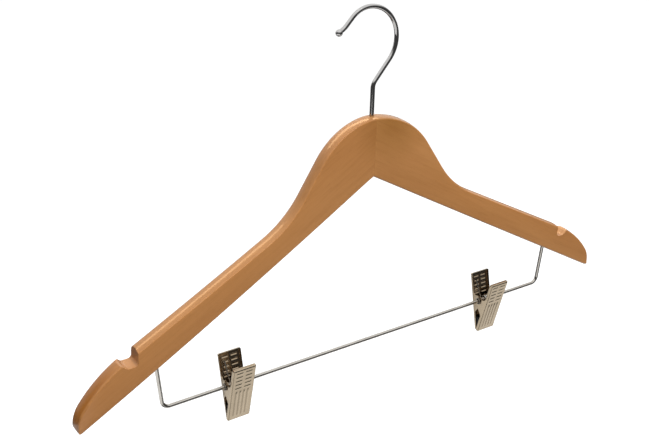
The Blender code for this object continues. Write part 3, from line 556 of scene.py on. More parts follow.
def board_section(top, top_normal, bottom, bottom_normal, lower_back=TIP_ROUND):
    """A closed section, whose four edges lie between a top and a bottom point."""
    depth = math.dist(top, bottom)
    down = (Vector(bottom) - Vector(top)) / depth
    upper = (Vector(top), top_normal, -down)
    lower = (Vector(bottom), bottom_normal, down)
    sides = []
    for (spot, normal, outward), edge, share in (
            (lower, plain_edge(BOTTOM_ROUND, 5), EDGE_SHARE),
            (lower, plain_edge(lower_back, 5), EDGE_SHARE),
            (upper, domed_edge(FRONT_ROUND, FRONT_DOME, 8), EDGE_SHARE),
            (upper, plain_edge(BACK_ROUND, 10), BACK_SHARE)):
        deepest = edge[0][1]
        inward = min(deepest / outward.dot(normal), depth * share)
        places = [(spot - outward * inward * drop / deepest, across) for across, drop in edge]
        sides.append([(place.x, across, place.y) for place, across in places])
    under_front, under_back, front, back = sides
    outline = [(x, -y, z) for x, y, z in reversed(under_front)] + [(x, -y, z) for x, y, z in front]
    return outline + list(reversed(back)) + under_back


def board_mesh():
    tops = upper_outline()
    under = Vector((-math.sin(UNDERSIDE_ANGLE), -math.cos(UNDERSIDE_ANGLE)))
    right = []
    for index, (top, foot_x) in enumerate(zip(tops[:-1], foot_positions(tops))):
        run = Vector(tops[index + 1]) - Vector(tops[max(index - 1, 0)])
        normal = Vector((-run.y, run.x)).normalized() if index else Vector((0, 1))
        near_tip = min(1.0, max(0.0, (foot_x - HALF_LENGTH + TIP_ROUND_START) / TIP_ROUND_RUN))
        lower_back = BOTTOM_ROUND + (TIP_ROUND - BOTTOM_ROUND) * near_tip ** 2
        right.append(board_section(top, normal, (foot_x, underside(foot_x)), under, lower_back))
    turn = QUARTER + UNDERSIDE_ANGLE
    for upper, lower in zip(tip_arc(0, turn / 2 - TIP_FLAT / 2), tip_arc(turn, turn / 2 + TIP_FLAT / 2)):
        right.append(board_section(*upper, *lower))
    left = [[(-x, y, z) for x, y, z in section] for section in reversed(right[1:])]
    bm = bmesh.new()
    loops = [[bm.verts.new((x, y + valley(x), z)) for x, y, z in section] for section in left + right]
    join_rings(bm, loops)
    bm.faces.new(loops[0])
    bm.faces.new(loops[-1])
    return as_mesh("board", bm)


# %% [markdown]
# ### Notches, comb joint and holes
# The strap notch is cut straight through after the edges are rounded: a steep wall, a short
# floor and a ramp, with the arm's corners eased on both sides of it. Under the hook the arms
# share a comb joint whose tongues show as fine lines on the crown and below it. Each is a
# cutter, an outline given a depth or a rod, because a Boolean cuts the arm as the saw does.

# %% Cutters for the arms
NOTCH_DEPTH = 0.0097
NOTCH_FLOOR = 0.0073
NOTCH_RAMP = math.radians(47)
NOTCH_RADIUS = 0.0028
NOTCH_WALL_ROUND = 0.0012
NOTCH_RAMP_ROUND = 0.0040
NOTCH_WALL_LEAN = 0.0004
NOTCH_BEYOND = 0.0120
NOTCH_CLEAR = math.radians(5)
JUST_INSIDE = 0.0001
THROUGH = 0.0300        # past the board on both sides
TONGUE_COUNT = 2
TONGUE_LENGTH = 0.0100
JOINT_LINE = 0.00003
HOOK_HOLE = 0.0017
COUNTERBORE = (0.00475, 0.0070)
BAR_HOLE_X = 0.1686
BAR_CORNER_X = 0.1657
BAR_DROP = 0.0040
BAR_OFFSET = 0.0024
BAR_SOCKET = (0.0015, 0.0123)
print(f"notch floor {(arm_line(NOTCH_X) - NOTCH_DEPTH) * 1000:.1f} mm above the tips")


def front_lay(a, b, depth):
    return a, depth, b


def plan_lay(a, b, depth):
    return a, b, depth


def notch_cutter(side):
    """The saw's path through the arm, with the arm's corners at both sides of it eased."""
    floor = arm_line(NOTCH_X) - NOTCH_DEPTH
    wall_x = NOTCH_X - NOTCH_WALL_LEAN
    wall_z = arm_line(wall_x)
    foot = NOTCH_X + NOTCH_FLOOR
    slope = math.tan(NOTCH_RAMP)
    ramp_x, ramp_z = crossing(floor - foot * slope, slope, arm_line(0) - JUST_INSIDE, -math.tan(ARM_ANGLE))
    corners = [
        (wall_x - NOTCH_BEYOND, wall_z + NOTCH_BEYOND * math.tan(ARM_ANGLE + NOTCH_CLEAR), 0),
        (wall_x, wall_z, NOTCH_WALL_ROUND), (NOTCH_X, floor, NOTCH_RADIUS), (foot, floor, NOTCH_RADIUS),
        (ramp_x, ramp_z, NOTCH_RAMP_ROUND),
        (ramp_x + NOTCH_BEYOND, ramp_z - NOTCH_BEYOND * math.tan(ARM_ANGLE - NOTCH_CLEAR), 0)]
    path = fillet_path(corners, math.radians(6))
    path += [(path[-1][0], floor + THROUGH), (path[0][0], floor + THROUGH)]
    return slab([(side * x, z) for x, z in path], -THROUGH, THROUGH, front_lay)


def comb_cutter(gap, outwards):
    layer = BOARD_THICKNESS / (2 * TONGUE_COUNT + 1)
    deep = BOARD_THICKNESS - valley(HALF_LENGTH)
    line = [(gap, -deep)]
    for k in range(TONGUE_COUNT):
        near = -BOARD_THICKNESS / 2 + (2 * k + 1) * layer + gap
        far = -BOARD_THICKNESS / 2 + (2 * k + 2) * layer - gap
        line += [(gap, near), (gap - TONGUE_LENGTH, near), (gap - TONGUE_LENGTH, far), (gap, far)]
    line.append((gap, deep))
    reach = outwards * HALF_LENGTH * 2
    return slab([(reach, -deep)] + line + [(reach, deep)], -THROUGH, CROWN_HEIGHT + THROUGH, plan_lay)


def bar_leg(side):
    foot = Vector((side * BAR_CORNER_X + BAR_OFFSET, -BAR_DROP))
    hole_x = side * BAR_HOLE_X + BAR_OFFSET
    mouth = Vector((hole_x, underside(hole_x)))
    return foot, (mouth - foot).normalized(), mouth


def socket_cutter(side):
    foot, way, mouth = bar_leg(side)
    hole = rod(BAR_SOCKET[0], -BAR_SOCKET[1] / 2, BAR_SOCKET[1])
    hole.transform(Matrix.Translation((mouth.x, valley(BAR_HOLE_X), mouth.y))
                   @ Matrix.Rotation(math.atan2(way.x, way.y), 4, "Y"))
    return hole


# %% Make both arms
def make_arm(side_name, side):
    cutters = [
        comb_cutter(side * JOINT_LINE / 2, -side), notch_cutter(side), socket_cutter(side),
        rod(HOOK_HOLE, APEX_HEIGHT - THROUGH, CROWN_HEIGHT + THROUGH),
        rod(COUNTERBORE[0], APEX_HEIGHT - THROUGH, APEX_HEIGHT + COUNTERBORE[1])]
    mesh = cut(board_mesh(), cutters)
    mesh.transform(Matrix.Translation((0, 0, TIPS_Z)))
    return finish_piece(
        side_name + "_arm_board", mesh, wood[side_name], "hanger", side_name + "_arm", 28)


arms = [make_arm("left", -1), make_arm("right", 1)]

# %% [markdown]
# ## Wires that follow a path
# The hook, the bar and the springs are all round wire bent along a path. That is one rule,
# so it is one geometry-nodes tree: it sweeps a circle along a curve, scales the circle by
# the curve's radius at each point, and closes the ends. Each wire only brings its own path
# and thickness.

# %% The sweep tree
def sweep_tree():
    tree = bpy.data.node_groups.new("sweep_wire", "GeometryNodeTree")
    face = tree.interface
    face.new_socket("Path", in_out="INPUT", socket_type="NodeSocketGeometry")
    sockets = {}
    for name, kind in (
            ("Wire Radius", "NodeSocketFloat"), ("Sides", "NodeSocketInt"), ("Finish", "NodeSocketMaterial")):
        sockets[name] = face.new_socket(name, in_out="INPUT", socket_type=kind).identifier
    face.new_socket("Wire", in_out="OUTPUT", socket_type="NodeSocketGeometry")
    start = tree.nodes.new("NodeGroupInput")
    circle = add_node(tree, "GeometryNodeCurvePrimitiveCircle", {
        "Radius": start.outputs["Wire Radius"], "Resolution": start.outputs["Sides"]})
    swell = add_node(tree, "GeometryNodeInputRadius")
    swept = add_node(tree, "GeometryNodeCurveToMesh", {
        "Curve": start.outputs["Path"], "Profile Curve": circle.outputs["Curve"],
        "Scale": swell.outputs[0], "Fill Caps": True})
    whole = add_node(tree, "GeometryNodeRealizeInstances", {"Geometry": swept.outputs["Mesh"]})
    dressed = add_node(tree, "GeometryNodeSetMaterial", {
        "Geometry": whole.outputs["Geometry"], "Material": start.outputs["Finish"]})
    end = tree.nodes.new("NodeGroupOutput")
    tree.links.new(dressed.outputs["Geometry"], end.inputs["Wire"])
    return tree, sockets


SWEEP, SWEEP_SOCKETS = sweep_tree()
print("sweep tree:", len(SWEEP.nodes), "nodes")


def wire_mesh(name, points, radius, material, sides, swell=None):
    curve = bpy.data.curves.new(name, "CURVE")
    curve.dimensions = "3D"
    spline = curve.splines.new("POLY")
    spline.points.add(len(points) - 1)
    for index, point in enumerate(points):
        spline.points[index].co = (*point, 1)
        spline.points[index].radius = swell[index] if swell else 1.0
    item = new_object(name, curve)
    step = item.modifiers.new("sweep", "NODES")
    step.node_group = SWEEP
    for key, value in (("Wire Radius", radius), ("Sides", sides), ("Finish", material)):
        step[SWEEP_SOCKETS[key]] = value
    bm = bmesh.new()
    bm.from_mesh(applied(item))
    return as_mesh(name, bm, merge=0.000001)


# %% [markdown]
# ## The hook
# The hook's shank rises on the swivel axis, bends over, runs straight to the loop and ends
# in a small ball that keeps it from scratching a rail. A sphere stuck on the end would leave
# a seam, so the ball is part of the same sweep: past a short neck the curve's radius follows
# a circle.

# %% Hook wire
HOOK_BEND_HEIGHT = 0.0217
HOOK_BEND_RADIUS = 0.0075
CREST_RADIUS = 0.0186
CREST_ANGLE = math.radians(47)
HOOK_LIP = 0.0078
HOOK_FLICK = math.radians(15)
HOOK_LIP_BEND = 0.0080
HOOK_END = 0.0034
BALL_RADIUS = 0.0023
BALL_CLOSED = math.radians(177)
LOOP_STEPS = 60
CREST_STEPS = 20
BALL_STEPS = 18
SEAT_GAP = 0.0003
WASHER_THICKNESS = 0.0008
NUT_HEIGHT = 0.0024
WASHER_TOP = APEX_HEIGHT + COUNTERBORE[1] - SEAT_GAP
NUT_TOP = WASHER_TOP - WASHER_THICKNESS - SEAT_GAP
NUT_FOOT = NUT_TOP - NUT_HEIGHT
HOOK_FOOT = NUT_FOOT - 0.0006


def round_point(centre, radius, angle):
    return centre.x + radius * math.cos(angle), centre.y + radius * math.sin(angle)


def hook_points():
    bend = Vector((0, CROWN_HEIGHT + HOOK_BEND_HEIGHT))
    to_centre = LOOP_CENTRE - bend
    slope = math.atan2(to_centre.y, to_centre.x) - math.asin(LOOP_RADIUS / to_centre.length)
    start = slope - QUARTER
    touch = round_point(LOOP_CENTRE, LOOP_RADIUS, start)
    path = divide_runs(fillet_path([(0, HOOK_FOOT, 0), (*bend, HOOK_BEND_RADIUS), (*touch, 0)])[:-1], 0.01)
    path += [round_point(LOOP_CENTRE, LOOP_RADIUS, angle) for angle in spread(start, QUARTER, LOOP_STEPS)]
    crest = Vector((LOOP_CENTRE.x, LOOP_CENTRE.y + LOOP_RADIUS - CREST_RADIUS))
    path += [round_point(crest, CREST_RADIUS, QUARTER + angle)
             for angle in spread(0, CREST_ANGLE, CREST_STEPS)[1:]]
    down = math.radians(180) + CREST_ANGLE
    lip_end = Vector(path[-1]) + HOOK_LIP * Vector((math.cos(down), math.sin(down)))
    heading = down - HOOK_FLICK
    tail = lip_end + HOOK_END * Vector((math.cos(heading), math.sin(heading)))
    path += fillet_path([path[-1], (*lip_end, HOOK_LIP_BEND), tail], math.radians(2))[1:]
    swell = [1.0] * len(path)
    neck = math.asin(HOOK_WIRE / BALL_RADIUS)
    way = Vector((math.cos(heading), math.sin(heading)))
    ball = Vector(path[-1]) + BALL_RADIUS * math.cos(neck) * way
    for angle in spread(neck, BALL_CLOSED, BALL_STEPS)[1:]:
        path.append(tuple(ball - BALL_RADIUS * math.cos(angle) * way))
        swell.append(BALL_RADIUS * math.sin(angle) / HOOK_WIRE)
    return [(x, 0, z + TIPS_Z) for x, z in path], swell


points, swell = hook_points()
hook_mesh = wire_mesh("hook_wire", points, HOOK_WIRE, finish["chrome"], 32, swell)
finish_piece("hook_wire", hook_mesh, finish["chrome"], "hook", "hook", 50)

# %% [markdown]
# ## Nut and washer
# A nut in a counterbore under the joint holds the hook, with a washer to bear on the wood.
# Both are turned parts, so a profile is carried round the axis. The nut is then cut from a
# turned blank by six flats, which leaves the rounded corners of a real one. A plain
# six-sided cylinder would have sharp corners that no real nut has.

# %% Turned parts
def turned(profile, sides=64):
    """A closed profile of (radius, height) carried round Z."""
    bm = bmesh.new()
    rings = []
    for angle in spread(0, math.tau, sides)[:-1]:
        rings.append([bm.verts.new((r * math.cos(angle), r * math.sin(angle), z)) for r, z in profile])
    join_rings(bm, rings + rings[:1])
    return as_mesh("turned", bm)


BORE = 0.0018
WASHER_RADIUS = 0.0040
WASHER_FOOT = WASHER_TOP - WASHER_THICKNESS
washer = turned([
    (BORE, WASHER_FOOT), (WASHER_RADIUS, WASHER_FOOT), (WASHER_RADIUS, WASHER_TOP), (BORE, WASHER_TOP)])
washer.transform(Matrix.Translation((0, 0, TIPS_Z)))
finish_piece("washer_disc", washer, finish["steel"], "hanger", "hook_washer")

NUT_FACE = 0.0027
NUT_CORNER = 0.00317
NUT_BEVEL = 0.0003
NUT_FLAT = 0.00275
CUT_REACH = 0.0100
nut = turned([
    (BORE, NUT_FOOT), (NUT_FACE, NUT_FOOT), (NUT_CORNER, NUT_FOOT + NUT_BEVEL),
    (NUT_CORNER, NUT_TOP - NUT_BEVEL), (NUT_FACE, NUT_TOP), (BORE, NUT_TOP)], 48)
outline = [(NUT_FLAT, -CUT_REACH), (CUT_REACH, -CUT_REACH), (CUT_REACH, CUT_REACH), (NUT_FLAT, CUT_REACH)]
flats = []
for k in range(6):
    flat = slab(outline, NUT_FOOT - CUT_REACH, NUT_TOP + CUT_REACH, plan_lay)
    flat.transform(Matrix.Rotation(math.radians(60 * k), 4, "Z"))
    flats.append(flat)
nut = cut(nut, flats)
nut.transform(Matrix.Translation((0, 0, TIPS_Z)))
finish_piece("nut_hexagon", nut, finish["steel"], "hook", "hook_nut", 20)

# %% [markdown]
# ## The bar
# The bar's ends lean a little outwards into blind holes under the arms. Its corners are
# bent round a small mandrel, so they have one radius and no kink. The sweep tree serves
# here too, with its own path.

# %% Bar wire
BAR_WIRE = 0.0013
BAR_CORNER_RADIUS = 0.0055
BAR_END_GAP = 0.0006


def bar_points():
    corners = []
    for side in (-1, 1):
        foot, way, mouth = bar_leg(side)
        end = mouth + way * (BAR_SOCKET[1] - BAR_END_GAP)
        pair = [(*end, 0), (*foot, BAR_CORNER_RADIUS)]
        corners += pair if side < 0 else reversed(pair)
    path = divide_runs(fillet_path(corners, math.radians(4)), 0.02)
    return [(x, valley(BAR_HOLE_X), z + TIPS_Z) for x, z in path]


bar_mesh = wire_mesh("bar_wire", bar_points(), BAR_WIRE, finish["bar"], 28)
finish_piece("bar_wire", bar_mesh, finish["bar"], "hanger", "trouser_bar", 50)

# %% [markdown]
# ## The clip's jaws
# A jaw is one piece of sheet, pressed and folded: a plate with short ribs for the thumb and
# long flutes that stiffen it, flanges down both sides that widen into ears round the pivot,
# and a lip at the bottom. Ribs laid on a box would look glued on, while here they are dents
# of the sheet itself. So the outer face is laid out as a net of rows and columns whose
# points are raised by the pattern. The folds add depth near the edges, the corners close as
# on a drawn part, and a thickness is given afterwards.

# %% Jaw sizes
SHEET = 0.0006
JAW_WIDTH = 0.0171
JAW_ABOVE = 0.0213
JAW_BELOW = 0.0260
JAW_STANDOFF = 0.0084
JAW_TILT = math.radians(13.3)
FOLD = 0.0010
FOLD_STEPS = 6
CORNER_STEPS = 6
FLANGE_DEPTH = 0.0022
EAR_RADIUS = 0.0035
EAR_FILLET = 0.0030
EAR_ROOT_BELOW = 0.0105
EAR_HOLE = 0.00235
JAW_OFFSET = 0.00045
LIP_GAP = 0.00015
LIP_DEPTH = JAW_STANDOFF - (JAW_BELOW * math.sin(JAW_TILT) + LIP_GAP) / math.cos(JAW_TILT)
RIB_RELIEF = 0.00016
INNER_RELIEF = 2.2
RIB_PITCH = 0.0034
RIB_HALF = 0.0010
RIB_COUNT = 5
RIB_INNER_END = (0.0007, 0.0013)
RIB_OUTER_END = (0.0056, 0.0062)
TOP_RIB = JAW_ABOVE - 0.0037
LAST_RIB = TOP_RIB - (RIB_COUNT - 1) * RIB_PITCH
FLUTE_PITCH = 0.0029
FLUTE_HALF_SPAN = 0.0058
FLUTE_RELIEF = 0.00027
FLUTE_TOP = (LAST_RIB - 0.0048, LAST_RIB - 0.0018)
FLUTE_FOOT = (-JAW_BELOW + 0.0030, -JAW_BELOW + 0.0044)
NET_PITCH = 0.0003
EAR_STEP = 0.00012
print(f"lip {LIP_DEPTH * 1000:.2f} mm deep, last rib at {LAST_RIB * 1000:.1f} mm")


def flange_depth(height):
    """Depth of the side flange, which widens into the ear round the pivot."""
    if height >= EAR_RADIUS:
        over = min(max(0.0, EAR_RADIUS + EAR_FILLET - height), EAR_FILLET)
        return FLANGE_DEPTH + EAR_FILLET - math.sqrt(EAR_FILLET ** 2 - over ** 2)
    away = Vector((FLANGE_DEPTH - JAW_STANDOFF, -EAR_ROOT_BELOW))
    angle = math.atan2(away.y, away.x) + math.acos(EAR_RADIUS / away.length)
    touch = (JAW_STANDOFF + EAR_RADIUS * math.cos(angle), EAR_RADIUS * math.sin(angle))
    if height < touch[1]:
        share = min(1.0, (height - touch[1]) / (-EAR_ROOT_BELOW - touch[1]))
        return touch[0] + (FLANGE_DEPTH - touch[0]) * share
    return JAW_STANDOFF + math.sqrt(EAR_RADIUS ** 2 - height ** 2)


def ease(value, low, high):
    share = min(1.0, max(0.0, (value - low) / (high - low)))
    return share * share * (3 - 2 * share)


def relief(across, height):
    """Height of the pressed pattern: level ribs above, upright flutes below."""
    across = abs(across)
    nearest = min(RIB_COUNT - 1, max(0, round((TOP_RIB - height) / RIB_PITCH)))
    away = abs(height - (TOP_RIB - nearest * RIB_PITCH)) / RIB_HALF
    raised = 0.0
    if away < 1:
        ends = ease(across, *RIB_INNER_END) * (1 - ease(across, *RIB_OUTER_END))
        raised = RIB_RELIEF * math.cos(QUARTER * away) ** 2 * ends
    if height < FLUTE_TOP[1] and across < FLUTE_HALF_SPAN:
        fade = (1 - ease(height, *FLUTE_TOP)) * ease(height, *FLUTE_FOOT)
        wave = 0.5 - 0.5 * math.cos(math.tau * across / FLUTE_PITCH)
        raised = max(raised, FLUTE_RELIEF * wave * fade)
    return raised


# %% The net of a jaw
def stations(low, high, extra):
    marks = spread(low, high, math.ceil((high - low) / NET_PITCH))
    for mark in extra:
        nearest = min(range(1, len(marks) - 1), key=lambda k: abs(marks[k] - mark))
        marks[nearest] = mark
    return sorted(marks)


def fold_stations():
    """Reach past the flat and depth, for each line of points round a fold."""
    turns = spread(0, QUARTER, FOLD_STEPS)[1:]
    return [(FOLD * math.sin(turn), FOLD * (1 - math.cos(turn))) for turn in turns]


def skin(bm, runs):
    """Faces between neighbouring rows of points."""
    for one, two in zip(runs, runs[1:]):
        for k in range(len(one) - 1):
            bm.faces.new((one[k], one[k + 1], two[k + 1], two[k]))


def jaw_sheet():
    flat = JAW_WIDTH / 2 - FOLD
    low = -JAW_BELOW + FOLD
    high = JAW_ABOVE - FOLD
    columns = stations(-flat, flat, [])
    rows = stations(low, high, [EAR_RADIUS, EAR_RADIUS - EAR_STEP, -EAR_ROOT_BELOW])
    fold = fold_stations()
    bm = bmesh.new()

    def vert(x, depth, z):
        return bm.verts.new((x, -JAW_STANDOFF + depth, z))

    plate = [[vert(x, -relief(x, z), z) for x in columns] for z in rows]
    skin(bm, plate)
    sides = {}
    for side, column in ((-1, 0), (1, -1)):
        runs = [[row[column] for row in plate]]
        for reach, depth in fold:
            runs.append([vert(side * (flat + reach), depth, z) for z in rows])
        runs.append([vert(side * (flat + FOLD), flange_depth(z), z) for z in rows])
        skin(bm, runs)
        sides[side] = runs
    for end, row, edge, depth_end in ((-1, plate[0], low, LIP_DEPTH), (1, plate[-1], high, FLANGE_DEPTH)):
        runs = [row]
        for reach, depth in fold:
            runs.append([vert(x, depth, edge + end * reach) for x in columns])
        runs.append([vert(x, depth_end, edge + end * FOLD) for x in columns])
        skin(bm, runs)
        for side, column in ((-1, 0), (1, -1)):
            close_corner(bm, vert, sides[side], runs, side, end, 0 if end < 0 else -1, column,
                         (side * flat, edge), fold, (FLANGE_DEPTH, depth_end))
    bmesh.ops.recalc_face_normals(bm, faces=bm.faces)
    if sum(face.normal.y * face.calc_area() for face in bm.faces) > 0:
        bmesh.ops.reverse_faces(bm, faces=bm.faces)
    mesh = bpy.data.meshes.new("jaw_sheet")
    bm.to_mesh(mesh)
    bm.free()
    return mesh


# %% Corners of the net
def close_corner(bm, vert, side_runs, end_runs, side, end, row, column, centre, fold, depths):
    """Rounded corner between a flange and a lip, as arcs from one to the other."""
    arcs = []
    for k, (reach, depth) in enumerate(fold + [(FOLD, None)], 1):
        arc = [side_runs[k][row]]
        for step in range(1, CORNER_STEPS):
            share = step / CORNER_STEPS
            angle = QUARTER * share
            x = centre[0] + side * reach * math.cos(angle)
            z = centre[1] + end * reach * math.sin(angle)
            deep = depths[0] + (depths[1] - depths[0]) * ease(share, 0, 1) if depth is None else depth
            arc.append(vert(x, deep, z))
        arc.append(end_runs[k][column])
        arcs.append(arc)
    hub = side_runs[0][row]
    for step in range(CORNER_STEPS):
        bm.faces.new((hub, arcs[0][step], arcs[0][step + 1]))
    skin(bm, arcs)


# %% [markdown]
# ### Thickness and pivot hole
# Solidify turns the face into sheet, with its inner wall and cut edges in the darker copy of
# the nickel, which is painted shade. Pressing thins the sheet, so the pattern is deeper
# inside, but some thickness always remains. The ears are then drilled together for the pivot tube.

# %% Jaw mesh
MOST_THINNING = 0.6 * SHEET
DRILL_REACH = 0.0200


def jaw_mesh():
    item = new_object("jaw", jaw_sheet())
    for material in (finish["nickel"], finish["inside"]):
        item.data.materials.append(material)
    wall = item.modifiers.new("thickness", "SOLIDIFY")
    wall.thickness = SHEET
    wall.offset = -1
    wall.use_even_offset = True
    wall.material_offset = 1
    wall.material_offset_rim = 1
    sheet = applied(item)
    for vertex in sheet.vertices:
        across, depth, height = vertex.co
        behind = depth + JAW_STANDOFF
        on_inner_wall = SHEET * 0.3 < behind < SHEET * 1.2
        if on_inner_wall and abs(across) < JAW_WIDTH / 2 - FOLD:
            vertex.co.y -= min(relief(across, height) * INNER_RELIEF, MOST_THINNING)
    hole = rod(EAR_HOLE, -DRILL_REACH, DRILL_REACH)
    hole.transform(Matrix.Rotation(QUARTER, 4, "Y"))
    return cut(sheet, [hole])


jaw = jaw_mesh()
print(f"jaw: {len(jaw.polygons)} faces")

# %% [markdown]
# ## Pads, tube and spring
# A black rubber pad sits behind each lip and grips the cloth; its face is grooved, so it is
# a slab with a notched outline. The pivot is a rolled tube whose rims hold the ears, and it
# slides on the bar: one more turned profile. A torsion spring wound round it pushes the
# handles apart. It is unbroken wire, so its path runs up one leg, round the coil and up the
# other leg, and the sweep tree does the rest.

# %% Small pieces of a clip
PAD_HEIGHT = 0.0080
PAD_GROOVES = 4
PAD_GROOVE_DEPTH = 0.00045
PAD_LIFT = 0.0012
TUBE = (0.0016, 0.00205, 0.0007, 0.0004)   # inner and outer radius, rim's height and length
CLEARANCE = 0.0003
TUBE_HALF = JAW_WIDTH / 2 + JAW_OFFSET + CLEARANCE + TUBE[3]
SPRING_WIRE = 0.0005
SPRING_RADIUS = TUBE[1] + CLEARANCE + SPRING_WIRE
SPRING_PITCH = 2 * SPRING_WIRE + 0.00045
SPRING_TURNS = 5
SPRING_LEG_HEIGHT = 0.0130
print(f"tube {TUBE_HALF * 2000:.1f} mm long, coil radius {SPRING_RADIUS * 1000:.2f} mm")


def pad_mesh():
    def face_depth(height):
        return (height * math.sin(JAW_TILT) - LIP_GAP) / math.cos(JAW_TILT)

    low = -JAW_BELOW + SHEET + CLEARANCE + PAD_LIFT
    high = low + PAD_HEIGHT
    back = -JAW_STANDOFF + SHEET + CLEARANCE
    outline = [(back, low), (back, high)]
    pitch = PAD_HEIGHT / PAD_GROOVES
    for k in range(PAD_GROOVES):
        top = high - k * pitch
        for drop, dent in ((0.0, 0.0), (0.30, 0.0), (0.45, 1.0), (0.70, 1.0), (0.85, 0.0)):
            height = top - drop * pitch
            outline.append((face_depth(height) - dent * PAD_GROOVE_DEPTH, height))
    outline.append((face_depth(low), low))
    half = JAW_WIDTH / 2 - SHEET - CLEARANCE
    return slab(outline, -half, half, lambda a, b, depth: (depth, a, b))


def tube_mesh():
    inner, outer, rim, rim_length = TUBE
    shoulder = TUBE_HALF - rim_length
    turns = [math.radians(angle) for angle in (0, 30, 60, 90)]
    roll = [(outer + rim * math.sin(turn), shoulder + rim_length * (1 - math.cos(turn))) for turn in turns]
    upper = [(outer, shoulder)] + roll[1:] + [
        (outer + rim * 0.7, TUBE_HALF), (inner + 0.0001, TUBE_HALF), (inner, TUBE_HALF - 0.0001)]
    profile = upper + [(radius, -height) for radius, height in reversed(upper)]
    mesh = turned(profile, 48)
    mesh.transform(Matrix.Rotation(QUARTER, 4, "Y"))
    return mesh


def spring_points(per_turn=32):
    plate = JAW_STANDOFF / math.cos(JAW_TILT) + SPRING_LEG_HEIGHT * math.tan(JAW_TILT)
    reach = plate - (SHEET + CLEARANCE + SPRING_WIRE) / math.cos(JAW_TILT) - CLEARANCE
    tip = Vector((-reach, SPRING_LEG_HEIGHT))
    leave = math.atan2(tip.y, tip.x) + math.acos(SPRING_RADIUS / tip.length)
    first = leave % math.tau
    last = (math.pi - leave) % math.tau
    while last < first:
        last += math.tau
    last += SPRING_TURNS * math.tau
    steps = round((last - first) / math.tau * per_turn)
    width = SPRING_PITCH * (last - first) / math.tau
    path = [(x, SPRING_RADIUS * math.cos(angle), SPRING_RADIUS * math.sin(angle))
            for x, angle in zip(spread(width / 2, -width / 2, steps), spread(first, last, steps))]
    legs = []
    for end, side in ((path[0], -1), (path[-1], 1)):
        goal = Vector((end[0], side * reach, SPRING_LEG_HEIGHT))
        legs.append([tuple(Vector(end).lerp(goal, share)) for share in (0.25, 0.5, 0.75, 1.0)])
    return list(reversed(legs[0])) + path + legs[1]


# %% [markdown]
# ## Both clips
# The two jaws of a clip are the same pressing, one turned round to face the other and moved
# sideways by a sheet's thickness so that the ears pass. The spring's coil sits on the pivot
# and its legs reach the two jaws; the spring rides on no body.

# %% Make the clips
pad = pad_mesh()
tube = tube_mesh()
BAR_Y = valley(BAR_HOLE_X)
BAR_Z = TIPS_Z - BAR_DROP
for side in ("left", "right"):
    low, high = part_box(side + "_pivot_tube")
    pivot = Vector(((low.x + high.x) / 2, BAR_Y, BAR_Z))
    home = Matrix.Translation(pivot)
    copy = tube.copy()
    copy.transform(home)
    finish_piece(
        side + "_tube_rolled", copy, finish["steel"], side + "_slider", side + "_pivot_tube", 50)
    for end, shift, turn in (("front", -JAW_OFFSET, 0.0), ("rear", JAW_OFFSET, math.pi)):
        pose = (home @ Matrix.Translation((shift, 0, 0)) @ Matrix.Rotation(turn, 4, "Z")
                @ Matrix.Rotation(JAW_TILT, 4, "X"))
        body = f"{side}_{end}"
        copy = jaw.copy()
        copy.transform(pose)
        finish_piece(body + "_jaw_sheet", copy, None, body, body + "_jaw", 40)
        copy = pad.copy()
        copy.transform(pose)
        finish_piece(body + "_pad_rubber", copy, finish["rubber"], body, body + "_pad", 30)
    path = [tuple(Vector(point) + pivot) for point in spring_points()]
    coil = wire_mesh(side + "_spring_coil", path, SPRING_WIRE, finish["spring"], 16)
    piece = finish_piece(side + "_spring_coil", coil, finish["spring"], None, side + "_spring", 50)
    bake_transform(piece)

# %% [markdown]
# ## Camera
# The camera stands where the photographer's did: to the left of the hanger, a little above
# the arms, looking down. Its place and turn are written as they were measured. A camera
# aimed at a point would leave out the small roll of the one in the photographer's hand.

# %% Camera
CAMERA_PLACE = Vector((-0.35385, -0.47740, 0.35800 + TIPS_Z))
CAMERA_RIGHT = Vector((0.83676, -0.54720, 0.02014))
CAMERA_UP = Vector((0.21419, 0.36094, 0.90766))
PHOTO_WIDTH = 650
FOCAL_PIXELS = 934.5
SENSOR_WIDTH = 36
lens = bpy.data.cameras.new("camera")
lens.sensor_width = SENSOR_WIDTH
lens.lens = FOCAL_PIXELS / PHOTO_WIDTH * SENSOR_WIDTH
lens.clip_start = 0.01
lens.clip_end = 50
camera = new_object("camera", lens)
ahead = CAMERA_UP.cross(CAMERA_RIGHT).normalized()
axes = Matrix((CAMERA_RIGHT.normalized(), CAMERA_UP.normalized(), -ahead)).transposed()
camera.matrix_world = Matrix.Translation(CAMERA_PLACE) @ axes.to_4x4()
bpy.context.scene.camera = camera
print(f"camera: lens {lens.lens:.1f} mm, at", [round(value, 3) for value in CAMERA_PLACE])

# %% [markdown]
# ## Studio floor
# The photograph has a plain white ground, and its metal shows what else stood there: bright
# sheets low in front and beside, a bright ceiling and back wall, and a dark room around. A
# plain white floor would turn the metal pale. So the floor is white to the camera and grey
# where it lights the piece, and in reflections only four soft-sided rectangles on it are
# bright, so that each pressed flute turns one side to the dark.

# %% Floor
FLOOR_Z = -1.0
BRIGHT_AREAS = (   # low X, high X, blur, low Y, high Y, blur, level
    (-0.15, 1.60, 0.35, -0.56, 0.12, 0.06, 0.95),
    (-0.60, 0.30, 0.05, -0.66, 0.12, 0.05, 0.30),
    (-0.60, 0.10, 0.05, -2.30, -0.70, 0.05, 0.95),
    (-2.30, -0.50, 0.05, -2.30, 1.15, 0.05, 0.95))
DARK_LEVEL = 0.06
FLOOR_GREY = (0.55, 0.55, 0.55, 1.0)
FLOOR_GLOW = 0.75

